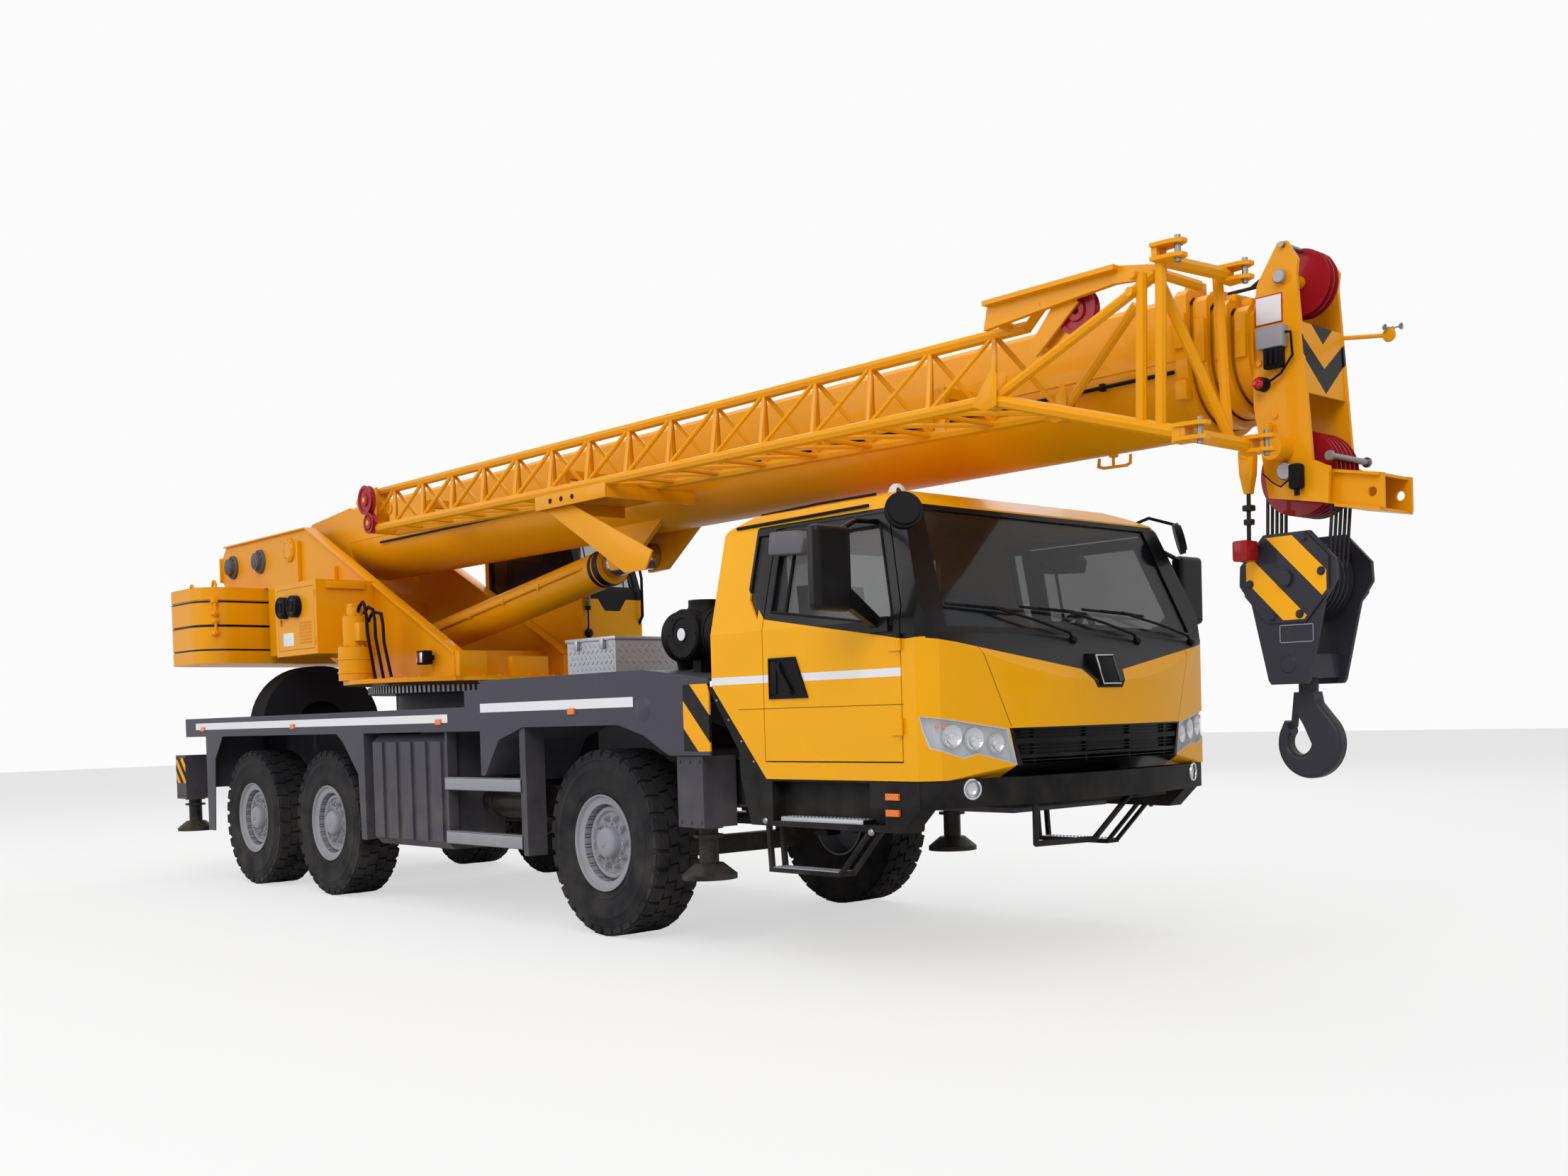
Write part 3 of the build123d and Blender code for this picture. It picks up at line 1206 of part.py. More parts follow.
def hook_block():
    """Two tapered cheeks with eight-sided covers, the sheaves on their pin, and the yoke for the hook."""
    half_cheek = [(130, block_top_z), (270, 2150), (275, 2050), (206, 1950), (115, block_bottom_z + 20),
                  (100, block_bottom_z)]
    cheek = [(block_x + x, z) for x, z in half_cheek] + [(block_x - x, z) for x, z in half_cheek[::-1]]
    half_cover = [(110, block_top_z - 5), (238, 2165), (238, 1995), (110, 1850)]
    cover = [(block_x + x, z) for x, z in half_cover] + [(block_x - x, z) for x, z in half_cover[::-1]]
    plates = both_sides(side_plate(cheek, *cheek_y)) + both_sides(side_plate(cover, cheek_y[1] - 1,
                                                                             cheek_y[1] + cover_thick))
    pin = across(block_x, block_pin_z, 40, -cheek_y[1] - 30, cheek_y[1] + 30)
    sheaves = sheave_pack(block_x, block_pin_z, block_sheave_radius, 5, 20)
    yoke = block(block_x - 90, block_x + 90, -cheek_y[0] - 5, cheek_y[0] + 5, yoke_bottom_z,
                 block_bottom_z + 150)
    return fuse(plates, pin, sheaves, yoke)


def rope_falls():
    ropes = []
    high = low_sheave[2] - groove_depth + rope_radius + 3 * seat
    low = block_sheave_radius - groove_depth + rope_radius
    for number in range(5):
        y = (number - 2) * sheave_width
        for end in (1, -1):
            ropes += [rod_between((block_x + end * low, y, block_pin_z),
                                  (low_sheave[0] + end * high, y, low_sheave[1]), rope_radius, 6)]
    return ropes


def hook():
    """A single hook, thick in the back and thin at the tip, with its shank and safety latch."""
    def at(x, z):
        return block_x + x, z

    outer_back = ThreePointArc(at(146, 1358), at(142, 1111), at(15, 1058))
    outer_front = ThreePointArc(at(15, 1058), at(-112, 1111), at(-152, 1304))
    tip = Polyline(at(-152, 1304), at(-127, 1356), at(-106, 1348), at(-86, 1286))
    bowl = ThreePointArc(at(-86, 1286), at(-34, bowl_bottom_z), at(24, 1262))
    throat = Polyline(at(24, 1262), at(-8, 1330), at(-50, 1400), at(-50, 1500), at(50, 1500), at(58, 1462),
                      at(146, 1358))
    body = extrude(Plane(origin=(0, 46, 0), x_dir=(1, 0, 0),
                         z_dir=(0, -1, 0)) * make_face([outer_back, outer_front, tip, bowl, throat]), 92)
    rounded = body.edges().filter_by(GeomType.CIRCLE)
    body = fillet(rounded, 26)
    shank = upright(block_x, 0, 50, 1480, yoke_bottom_z - seat)
    latch = side_plate([at(-78, 1500), at(-49, 1500), at(-72, 1322), at(-100, 1316)], -14, 14)
    return fuse(body, shank, latch)


parts["hook_block"] = fuse(hook_block(), rope_falls())
parts["hook"] = hook()


# outriggers: a beam in its cell, the jack box at its end and the leg with its float
def outrigger_beam(x, side, cell_side):
    middle = x + cell_side * beam_offset
    low = beam_base_z + seat
    beam = block(middle - beam_width / 2, middle + beam_width / 2, -side * (outrigger_box_half - 60),
                 side * (outrigger_box_half + 30), low, low + beam_height)
    box_low, box_high = 770.0, 1215.0
    jack = block(x - jack_box / 2, x + jack_box / 2, side * (jack_y - jack_box / 2),
                 side * (jack_y + jack_box / 2), box_low, box_high)
    bore = upright(x, side * jack_y, jack_radius + running, box_low + 60, box_high - 40)
    bore = bore + upright(x, side * jack_y, jack_radius + pin_gap, box_low - 1, box_low + 61)
    return beam + jack - bore


def jack_leg(x, side):
    leg = upright(x, side * jack_y, jack_radius, pad_bottom_z + 60, 1160)
    collar = upright(x, side * jack_y, 95, 700, 720)
    cone = Pos(x, side * jack_y, pad_bottom_z + 65) * Cone(pad_radius, 90, 70)
    foot = upright(x, side * jack_y, pad_radius, pad_bottom_z, pad_bottom_z + 31)
    return fuse(leg, cone, foot, collar)


for end_name, x in (("front", front_outrigger_x), ("rear", rear_outrigger_x)):
    for side_name, side in sides:
        parts[f"outrigger_beam_{end_name}_{side_name}"] = outrigger_beam(x, side, side)
        parts[f"outrigger_leg_{end_name}_{side_name}"] = jack_leg(x, side)


row_shift = -(weight_rear_x - lug_reach + front_reach_x) / 2
os.makedirs("parts", exist_ok=True)
for name, piece in parts.items():
    solids = [Pos(row_shift, 0, 0) * solid for solid in piece.solids()]
    export_step(Compound(solids), f"parts/{name}.step")
print(len(parts), "parts")
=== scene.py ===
import math

import bmesh
import bpy
from mathutils import Matrix, Vector


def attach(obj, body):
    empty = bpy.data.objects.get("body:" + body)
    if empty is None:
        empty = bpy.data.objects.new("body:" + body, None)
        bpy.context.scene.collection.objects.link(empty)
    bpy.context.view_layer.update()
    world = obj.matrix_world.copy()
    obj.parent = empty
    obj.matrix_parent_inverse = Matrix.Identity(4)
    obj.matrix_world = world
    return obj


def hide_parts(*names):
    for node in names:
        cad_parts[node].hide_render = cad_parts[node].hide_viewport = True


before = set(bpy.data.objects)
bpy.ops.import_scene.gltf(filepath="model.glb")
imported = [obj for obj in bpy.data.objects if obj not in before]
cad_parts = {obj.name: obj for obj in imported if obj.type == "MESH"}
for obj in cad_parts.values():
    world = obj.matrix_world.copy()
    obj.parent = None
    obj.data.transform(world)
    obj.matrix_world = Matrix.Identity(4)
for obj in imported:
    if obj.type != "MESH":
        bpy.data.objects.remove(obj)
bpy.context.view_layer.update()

axleX = 1.545              # the front axle in the frame; every x below counts from it
scene = bpy.context.scene


# shader maths
class Wire:
    def __init__(self, tree, socket=None):
        self.tree = tree
        self.socket = socket

    def node(self, kind, settings=None, values=None, output=0):
        made = self.tree.nodes.new(kind)
        for key, value in (settings or {}).items():
            if key == "stops":
                setStops(made.color_ramp, value)
            else:
                setattr(made, key, value)
        for key, value in (values or {}).items():
            if isinstance(value, Wire):
                self.tree.links.new(value.socket, made.inputs[key])
            else:
                made.inputs[key].default_value = value
        return Wire(self.tree, made.outputs[output] if len(made.outputs) else None)

    def other(self, output):
        return Wire(self.tree, self.socket.node.outputs[output])

    def maths(self, operation, *values):
        return self.node("ShaderNodeMath", {"operation": operation}, dict(enumerate(values)))

    def __add__(self, value):
        return self.maths("ADD", self, value)

    def __sub__(self, value):
        return self.maths("SUBTRACT", self, value)

    def __mul__(self, value):
        return self.maths("MULTIPLY", self, value)

    def __truediv__(self, value):
        return self.maths("DIVIDE", self, value)

    def __gt__(self, value):
        return self.maths("GREATER_THAN", self, value)

    def __lt__(self, value):
        return self.maths("LESS_THAN", self, value)

    # a plain number may stand on the left, as in 1 - mask
    def __rsub__(self, value):
        return self.maths("SUBTRACT", value, self)

    def __rtruediv__(self, value):
        return self.maths("DIVIDE", value, self)

    __radd__ = __add__
    __rmul__ = __mul__

    def size(self):
        return self.maths("ABSOLUTE", self)

    def clamped(self):
        return self.node("ShaderNodeClamp", None, {0: self})


def setStops(ramp, stops):
    while len(ramp.elements) < len(stops):
        ramp.elements.new(0.5)
    for element, (place, colour) in zip(ramp.elements, stops):
        element.position = place
        element.color = colour


def angles(count):
    return [2 * math.pi * k / count for k in range(count)]


def tint(red, green, blue):
    def linear(part):
        part /= 255
        return part / 12.92 if part <= 0.04045 else ((part + 0.055) / 1.055) ** 2.4
    return (linear(red), linear(green), linear(blue), 1.0)


def darker(colour, share):
    return tuple(part * share for part in colour[:3]) + (1.0,)


def newMaterial(name):
    material = bpy.data.materials.new(name)
    material.use_nodes = True
    material.node_tree.nodes.clear()
    return material, Wire(material.node_tree)


def objectSpot(root):
    return root.node("ShaderNodeTexCoord", output="Object")


def parts(spot):
    x = spot.node("ShaderNodeSeparateXYZ", None, {0: spot})
    return x - axleX, x.other(1), x.other(2)


def noise(spot, scale, detail=3.0):
    return spot.node("ShaderNodeTexNoise", None, {"Vector": spot, "Scale": scale, "Detail": detail})


def stretched(spot, scale):
    return spot.node("ShaderNodeMapping", None, {"Vector": spot, "Scale": scale})


def mixed(factor, low, high):
    return factor.node("ShaderNodeMix", {"data_type": "RGBA"}, {0: factor, 6: low, 7: high}, output=2)


def between(value, low, high):
    return (value > low) * (value < high)


def polygon(u, v, corners):
    # inside a convex outline whose corners run counterclockwise
    inside = None
    for (u0, v0), (u1, v1) in zip(corners, corners[1:] + corners[:1]):
        edge = (v - v0) * (u1 - u0) - (u - u0) * (v1 - v0) > 0.0
        inside = edge if inside is None else inside * edge
    return inside


def stripes(u, v, pitch, slope=1.0):
    phase = (u + v * slope) / pitch
    return phase.maths("FRACT", phase) > 0.5


# dust lies below dustTop and thins out upwards; streaks run down the sides
paintLook = {"rough": 0.34, "coat": 0.10, "coatRough": 0.08, "specular": 0.13, "peelScale": 220.0,
             "peelDepth": 0.00012, "cloudScale": 1.3, "cloudShade": (0.88, 1.06), "dustScale": 7.0,
             "dustTop": 1.4, "streak": (9.0, 9.0, 1.4), "streakShare": 0.10, "lensTop": 1.5}


def finishMaterial(material, root, colour, rough, metal=0.0, coat=0.0, height=None, depth=0.001, alpha=None):
    values = {"Base Color": colour, "Roughness": rough, "Metallic": metal, "Coat Weight": coat,
              "Coat Roughness": paintLook["coatRough"], "Specular IOR Level": paintLook["specular"]}
    if height is not None:
        bump = {"Strength": 1.0, "Distance": depth, "Height": height}
        values["Normal"] = root.node("ShaderNodeBump", None, bump)
    if alpha is not None:
        values["Alpha"] = alpha
    shader = root.node("ShaderNodeBsdfPrincipled", None, values)
    root.node("ShaderNodeOutputMaterial", None, {"Surface": shader})
    return material


def paint(name, colour, dust=0.25, rough=None, coat=None, trim=None):
    # trim(x, y, z) gives the mask and colour of each area in another colour
    material, root = newMaterial(name)
    spot = objectSpot(root)
    x, y, z = parts(spot)
    cloud = noise(spot, paintLook["cloudScale"], 4.0)
    low, high = paintLook["cloudShade"]
    base = mixed(cloud, darker(colour, low), darker(colour, high))
    for mask, other in (trim(x, y, z) if trim else ()):
        base = mixed(mask, base, other)
    streak = noise(stretched(spot, paintLook["streak"]), 1.0, 5.0)
    settled = (paintLook["dustTop"] - z).clamped() * dust
    patch = (noise(spot, paintLook["dustScale"], 6.0) * 1.6 - 0.45).clamped()
    dusty = (patch * settled + (streak * 2.4 - 1.45).clamped() * paintLook["streakShare"]).clamped()
    base = mixed(dusty, base, colours["dust"])
    roughness = dusty * 0.5 + cloud * 0.08 + (paintLook["rough"] if rough is None else rough)
    peel = noise(spot, paintLook["peelScale"], 1.0)
    return finishMaterial(material, root, base, roughness, 0.0, paintLook["coat"] if coat is None else coat,
                          peel, paintLook["peelDepth"])


def plastic(name, colour, rough=0.55, grain=900.0, depth=0.0002):
    material, root = newMaterial(name)
    spot = objectSpot(root)
    z = parts(spot)[2]
    worn = noise(spot, 5.0, 5.0)
    dusty = (worn * 1.5 - 0.5).clamped() * (1.5 - z).clamped() * 0.35
    base = mixed(dusty, mixed(worn, darker(colour, 0.8), darker(colour, 1.25)), colours["rubberDust"])
    return finishMaterial(material, root, base, worn * 0.18 + rough - 0.06, 0.0, 0.0,
                          noise(spot, grain, 2.0), depth)


def metal(name, colour, rough=0.32, metallic=1.0, scratch=(4.0, 4.0, 160.0)):
    material, root = newMaterial(name)
    spot = objectSpot(root)
    lines = noise(stretched(spot, scratch), 1.0, 4.0)
    stain = noise(spot, 3.0, 5.0)
    base = mixed(stain, darker(colour, 0.7), colour)
    return finishMaterial(material, root, base, lines * 0.25 + rough - 0.1, metallic, 0.0, lines, 0.0002)


def lens(name, colour, rough=0.12, ribs=260.0):
    material, root = newMaterial(name)
    spot = objectSpot(root)
    x, _, z = parts(spot)
    rib = (x * ribs).maths("SINE", x * ribs) * (z * ribs).maths("SINE", z * ribs)
    base = mixed((rib * 0.5 + 0.5).clamped(), darker(colour, 0.72), colour)
    return finishMaterial(material, root, base, rough, 0.0, 0.8, rib, 0.0006)


def glassMaterial(name, colour, alpha):
    material, root = newMaterial(name)
    spot = objectSpot(root)
    smear = noise(spot, 2.2, 4.0)
    lampCover = parts(spot)[2] < paintLook["lensTop"]      # lamp lenses are clear, windows are tinted
    shade = mixed(lampCover, mixed(smear, darker(colour, 0.7), colour), colours["clear"])
    cover = (smear * 0.1 + (1.0 - lampCover) * alpha + lampCover * 0.08).clamped()
    ripple = noise(spot, 0.8, 1.0)
    return finishMaterial(material, root, shade, smear * 0.05 + 0.02, 0.0, 0.6, ripple, 0.0004, cover)


colours = {
    "yellow": tint(236, 166, 2), "orange": tint(228, 152, 2), "grey": tint(64, 63, 73),
    "black": tint(11, 11, 14), "white": tint(222, 223, 228), "rubber": tint(30, 30, 34),
    "silver": tint(146, 147, 156), "crimson": tint(150, 18, 30), "glass": tint(30, 34, 40),
    "steel": tint(150, 150, 154), "cast": tint(92, 92, 96), "amber": tint(240, 120, 20),
    "hook": tint(46, 45, 53), "rope": tint(52, 48, 46), "lamp": tint(186, 189, 196),
    "visor": tint(96, 94, 100), "chrome": tint(205, 207, 212), "mirror": tint(225, 227, 232),
    "tread": tint(186, 188, 194), "seat": tint(44, 48, 62), "red": tint(190, 20, 24),
    "green": tint(30, 120, 60), "dust": tint(128, 118, 104), "rubberDust": tint(120, 112, 102),
    "clear": tint(225, 228, 232), "floor": tint(226, 226, 226)}


def union(*masks):
    whole = masks[0]
    for mask in masks[1:]:
        whole = (whole + mask).clamped()
    return whole


def cabTrim(x, y, z):
    away = y.size()
    side = away > 0.9
    nose = x > 2.9
    window = polygon(x, z, [(1.62, 2.20), (1.80, 2.015), (2.97, 1.84), (3.25, 1.86), (3.02, 2.575),
                            (1.62, 2.575)])
    pane = polygon(y, z, [(-1.24, 1.86), (1.24, 1.86), (1.10, 2.59), (-1.10, 2.59)])
    screen = pane * (x > 2.55) * (away < 1.24)
    vee = polygon(y, z, [(-0.17, 1.665), (0.17, 1.665), (1.25, 1.84), (1.25, 1.88), (-1.25, 1.88),
                         (-1.25, 1.84)])
    badge = polygon(y, z, [(-0.115, 1.562), (0.115, 1.562), (0.19, 1.67), (-0.19, 1.67)])
    mouth = union(polygon(y, z, [(-0.765, 1.0), (0.765, 1.0), (0.745, 1.16), (-0.745, 1.16)]),
                  polygon(y, z, [(-0.74, 1.15), (0.74, 1.15), (0.785, 1.352), (-0.785, 1.352)]))
    bowl = union(polygon(away, z, [(0.738, 1.150), (0.984, 1.218), (1.282, 1.428), (0.797, 1.349)]),
                 polygon(away, z, [(0.984, 1.218), (1.075, 1.197), (1.245, 1.256), (1.268, 1.340),
                                   (1.282, 1.428)]))
    line = between(z, 1.645, 1.690) * side * between(x, 1.25, 2.93)
    seam = between(away - (z - 1.36) * 0.42, 0.770, 0.776) * nose * between(z, 1.36, 1.80)
    # painted shade: a thin dark line along the crease on each side of the cab
    creaseShade = between(z, 1.492, 1.497) * side * between(x, 1.56, 2.95)
    mirror = (away > 1.303) * (z > 1.876)
    dark = union(window * side, screen, union(vee, badge, mouth) * nose, mirror)
    return ((dark, colours["black"]), (bowl * nose, colours["lamp"]), (line, colours["white"]),
            # the dark yellow marks the nose seam, a real joint, and the painted shade of the side crease
            (union(seam, creaseShade), darker(colours["yellow"], 0.25)))


def blockTrim(x, y, z):
    cheek = polygon(x, z, [(4.490, 1.862), (4.690, 1.862), (4.816, 2.000), (4.816, 2.160), (4.695, 2.283),
                           (4.485, 2.283), (4.364, 2.160), (4.364, 2.000)])
    cover = (y.size() > 0.1905) * cheek
    phase = (x + z - 6.7645) / 0.33
    return ((z > 2.33, colours["rope"]), (cover * (phase.maths("FRACT", phase) < 0.45), colours["yellow"]))


def deckTrim(x, y, z):
    face = y.size() > 1.26
    band = between(z, 1.535, 1.600) * face * between(x, -1.487, 0.454)
    plate = between(x, 0.99, 1.252) * between(z, 1.245, 1.66) * face
    return ((band, colours["white"]), (plate, colours["yellow"]),
            (plate * stripes(x, z, 0.34), colours["black"]))


def rearTrim(x, y, z):
    return ((between(z, 1.468, 1.532) * (y.size() > 1.26) * between(x, -7.06, -1.98), colours["white"]),)


def weightTrim(x, y, z):
    bands = (between(z, 2.262, 2.280) + between(z, 2.500, 2.525) + between(z, 2.745, 2.765)).clamped()
    return ((bands, colours["black"]),)


def headTrim(x, y, z):
    away = y.size()
    front = (x > 4.692) * (away < 0.208) * between(z, 2.975, 3.335)
    chevron = (z - away * 0.845 > 2.993) * (z - away * 0.725 < 3.12)
    return ((front * union(chevron, z - away * 0.85 > 3.243), colours["black"]),)


def jibTrim(x, y, z):
    reach = ((x + 3.84) * (x + 3.84) + (z - 3.38) * (z - 3.38)) < 0.0098
    return ((reach * between(y, -0.985, -0.915), colours["crimson"]),)


def boxTrim(x, y, z):
    door = polygon(x, z, [(-5.38, 2.17), (-4.61, 2.17), (-4.61, 2.73), (-5.38, 2.73)])
    inner = polygon(x, z, [(-5.375, 2.175), (-4.615, 2.175), (-4.615, 2.725), (-5.375, 2.725)])
    gap = (y < -1.105) * door * (1.0 - inner)
    return ((y < -1.113, colours["black"]), (gap, darker(colours["orange"], 0.2)))


def operatorTrim(x, y, z):
    glazed = between(z, 2.545, 3.335) * (x > -4.535)
    notch = polygon(y, z, [(0.84, 2.44), (1.00, 2.44), (1.08, 2.56), (0.76, 2.56)]) * (x > -2.97)
    return ((union(glazed, notch), colours["black"]),)


def hazardTrim(x, y, z):
    return ((stripes(x, z, 0.16), colours["black"]),)


def makeMaterials():
    return {
        "yellow": paint("yellowPaint", colours["yellow"]),
        "orange": paint("boomPaint", colours["orange"], 0.1),
        "cabPaint": paint("cabPaint", colours["yellow"], 0.2, trim=cabTrim),
        "weightPaint": paint("weightPaint", colours["orange"], 0.1, trim=weightTrim),
        "headPaint": paint("headPaint", colours["orange"], 0.1, trim=headTrim),
        "jibPaint": paint("jibPaint", colours["orange"], 0.1, trim=jibTrim),
        "boxPaint": paint("sideBoxPaint", colours["orange"], 0.1, trim=boxTrim),
        "operatorPaint": paint("operatorCabPaint", colours["yellow"], 0.1, trim=operatorTrim),
        "hazard": paint("hazardPlate", colours["yellow"], 0.3, 0.5, 0.0, hazardTrim),
        "grey": paint("chassisPaint", colours["grey"], 0.5, 0.45, 0.1),
        "frontDeck": paint("frontDeckPaint", colours["grey"], 0.5, 0.42, 0.1, deckTrim),
        "rearDeck": paint("rearDeckPaint", colours["grey"], 0.5, 0.42, 0.1, rearTrim),
        "blackPaint": paint("blackPaint", colours["black"], 0.4, 0.42, 0.1),
        "hookPaint": paint("hookPaint", colours["hook"], 0.1, 0.45, 0.1),
        "block": paint("blockPaint", colours["hook"], 0.1, 0.42, 0.1, blockTrim),
        "plastic": plastic("blackPlastic", colours["black"]),
        "visor": plastic("greyPlastic", colours["visor"], 0.45),
        "rubber": plastic("tyreRubber", colours["rubber"], 0.78, 260.0, 0.0006),
        "silver": paint("rimPaint", colours["silver"], 0.5, 0.42, 0.1),
        "chrome": metal("chromeRod", colours["chrome"], 0.14),
        "reflector": metal("lampReflector", colours["mirror"], 0.12),
        "steel": metal("groundSteel", colours["steel"], 0.38),
        "rope": metal("wireRope", colours["rope"], 0.5, 0.6, (400.0, 400.0, 400.0)),
        "cast": paint("castGrey", colours["cast"], 0.3, 0.5, 0.0),
        "plate": metal("treadPlate", colours["tread"], 0.42, 0.75, (6.0, 6.0, 6.0)),
        "crimson": paint("sheaveNylon", colours["crimson"], 0.0, 0.38, 0.2),
        "glass": glassMaterial("tintedGlass", colours["glass"], 0.42),
        "seat": plastic("seatCloth", colours["seat"], 0.85, 1400.0, 0.0005),
        "amber": lens("amberLens", colours["amber"]),
        "redLens": lens("redLens", colours["red"]),
        "greenLens": lens("greenLens", colours["green"]),
        "white": paint("whitePaint", colours["white"], 0.15),
    }


look = makeMaterials()
nodeLook = {
    "chassis_frame": "grey", "rear_deck": "rearDeck", "front_deck": "frontDeck", "side_tanks": "grey",
    "axles": "blackPaint", "cab_shell": "cabPaint", "cab_glass": "glass", "front_bumper": "plastic",
    "lamps": "amber", "mirrors": "plastic", "cab_interior": "seat", "engine": "cast",
    "air_cleaner": "plastic", "tool_box": "plate", "spare_wheel": "rubber", "turntable": "orange",
    "counterweight": "weightPaint", "winches": "cast", "side_box": "boxPaint",
    "op_cab_shell": "operatorPaint", "op_cab_glass": "glass", "op_seat": "seat",
    "op_cab_door": "operatorPaint", "boom_base": "orange", "lattice_jib": "jibPaint",
    "boom_section_2": "orange", "boom_section_3": "orange", "boom_section_4": "orange",
    "boom_head": "headPaint", "head_sheaves": "crimson", "hook_block": "block", "hook": "hookPaint",
    "luff_barrel": "orange", "luff_rod": "chrome"}
groupLook = {"tyre": "rubber", "rim": "silver", "knuckle": "blackPaint", "cab_door": "cabPaint",
             "door_glass": "glass", "outrigger_beam": "grey", "outrigger_leg": "blackPaint"}
slotNames = {
    "plastic": "black_plastic", "visor": "black_plastic", "rubber": "tyre", "silver": "rim_silver",
    "white": "rim_silver", "reflector": "chrome_rod", "chrome": "chrome_rod", "amber": "amber",
    "redLens": "crimson", "greenLens": "crimson", "crimson": "crimson", "plate": "tread_plate",
    "steel": "steel", "rope": "steel", "grey": "chassis_grey", "blackPaint": "black_paint",
    "hookPaint": "black_paint", "hazard": "boom_yellow", "yellow": "boom_yellow", "cast": "cast_grey",
    "orange": "boom_orange"}
for node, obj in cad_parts.items():
    key = nodeLook.get(node) or next(value for start, value in groupLook.items() if node.startswith(start))
    for place in obj.material_slots:
        place.material = look[key]
print("materials done")


# mesh helpers; lengths are in metres, x counts from the front axle, y from the middle and z from the ground
level = (0.0, 0.0, 0.0)
upright = (math.pi / 2, 0.0, 0.0)          # a quarter turn about x


class Shape:
    def __init__(self):
        self.bm = bmesh.new()

    def take(self, mesh):
        self.bm.from_mesh(mesh)
        bpy.data.meshes.remove(mesh)
        return self

    def block(self, x0, x1, y0, y1, z0, z1, bevel=0.004, turn=None):
        local = bmesh.new()
        bmesh.ops.create_cube(local, size=1.0)
        middle = Vector((axleX + (x0 + x1) / 2, (y0 + y1) / 2, (z0 + z1) / 2))
        for vert in local.verts:
            vert.co = Vector((vert.co.x * abs(x1 - x0), vert.co.y * abs(y1 - y0), vert.co.z * abs(z1 - z0)))
        return self.settle(local, middle, bevel, turn)

    def settle(self, local, middle, bevel, turn):
        if bevel:
            bmesh.ops.bevel(local, geom=list(local.edges), offset=bevel, segments=2, profile=0.5,
                            affect="EDGES")
        for vert in local.verts:
            vert.co = middle + (turn @ vert.co if turn else vert.co)
        mesh = bpy.data.meshes.new("part")
        local.to_mesh(mesh)
        local.free()
        return self.take(mesh)

    def plate(self, outline, y0, y1, bevel=0.0, across="y"):
        # the outline's points are (x, z) between two y, or (y, z) between two x, or (x, y) between two z
        local = bmesh.new()
        low, high = min(y0, y1), max(y0, y1)
        def corner(u, v, w):
            return Vector({"y": (axleX + u, w, v), "x": (axleX + w, u, v), "z": (axleX + u, v, w)}[across])
        ring = [[local.verts.new(corner(u, v, w)) for u, v in outline] for w in (low, high)]
        local.faces.new(ring[0])
        local.faces.new(list(reversed(ring[1])))
        count = len(outline)
        for at in range(count):
            after = (at + 1) % count
            local.faces.new((ring[0][after], ring[0][at], ring[1][at], ring[1][after]))
        bmesh.ops.recalc_face_normals(local, faces=local.faces)
        return self.settle(local, Vector(), bevel, None)

    def tube(self, points, radius, sides=10):
        spots = [Vector((axleX + x, y, z)) for x, y, z in points]
        rings = []
        side = None
        for at, spot in enumerate(spots):
            back = spots[at] - spots[at - 1] if at else spots[1] - spots[0]
            ahead = spots[at + 1] - spot if at + 1 < len(spots) else back
            way = (back.normalized() + ahead.normalized()).normalized()
            if side is None:
                side = way.orthogonal().normalized()
            side = (side - way * side.dot(way)).normalized()
            up = way.cross(side)
            spread = radius / max(0.5, math.cos(back.angle(ahead) / 2))
            rings.append([self.bm.verts.new(spot + (side * math.cos(a) + up * math.sin(a)) * spread)
                          for a in angles(sides)])
        for first, second in zip(rings, rings[1:]):
            for k in range(sides):
                after = (k + 1) % sides
                self.bm.faces.new((first[k], first[after], second[after], second[k]))
        self.bm.faces.new(list(reversed(rings[0])))
        self.bm.faces.new(rings[-1])
        return self

    def lathe(self, profile, centre, axis="y", sign=1.0, sides=48, turn=None):
        # profile of (radius, offset) pairs; the first and last may lie on the axis
        turn = turn or Matrix.Identity(3)
        spot = Vector((axleX + centre[0], centre[1], centre[2]))
        rings = []
        for radius, offset in profile:
            around = angles(sides) if radius else [0.0]          # a point on the axis is a single vertex
            corners = [turned(radius * math.cos(a), radius * math.sin(a), offset * sign,
                              axis) for a in around]
            rings.append([self.bm.verts.new(spot + turn @ corner) for corner in corners])
        closed = profile[0][0] and profile[-1][0]
        faces = []
        for first, second in zip(rings, rings[1:] + (rings[:1] if closed else [])):
            for k in range(sides):
                after = (k + 1) % sides
                corners = [first[k % len(first)], first[after % len(first)], second[after % len(second)],
                           second[k % len(second)]]
                faces.append(self.bm.faces.new(list(dict.fromkeys(corners))))
        bmesh.ops.recalc_face_normals(self.bm, faces=faces)
        return self

    def cap(self, points, centre, axis="y", sign=1.0, sides=48, turn=None):
        # a lathe whose first and last points are carried straight in to the axis
        profile = [(0.0, points[0][1])] + points + [(0.0, points[-1][1])]
        return self.lathe(profile, centre, axis, sign, sides, turn)

    def ring(self, kind, centre, count, radius, offset, size, phase=0.0, turn=level, sides=6, key="steel",
             lay=level):
        return self.take(grow(trees["ring"][kind], {
            "Count": count, "Phase": phase, "Radius": radius, "Offset": offset, "Size": size,
            "Sides": sides, "Turn": turn, "Lay": lay, "Centre": (axleX + centre[0], centre[1], centre[2]),
            "Material": look[key]}))

    def row(self, kind, start, step, count, size, turn=level, sides=6, key="steel"):
        return self.take(grow(trees["row"][kind], {
            "Count": count, "Start": (axleX + start[0], start[1], start[2]), "Step": step, "Size": size,
            "Sides": sides, "Turn": turn, "Material": look[key]}))

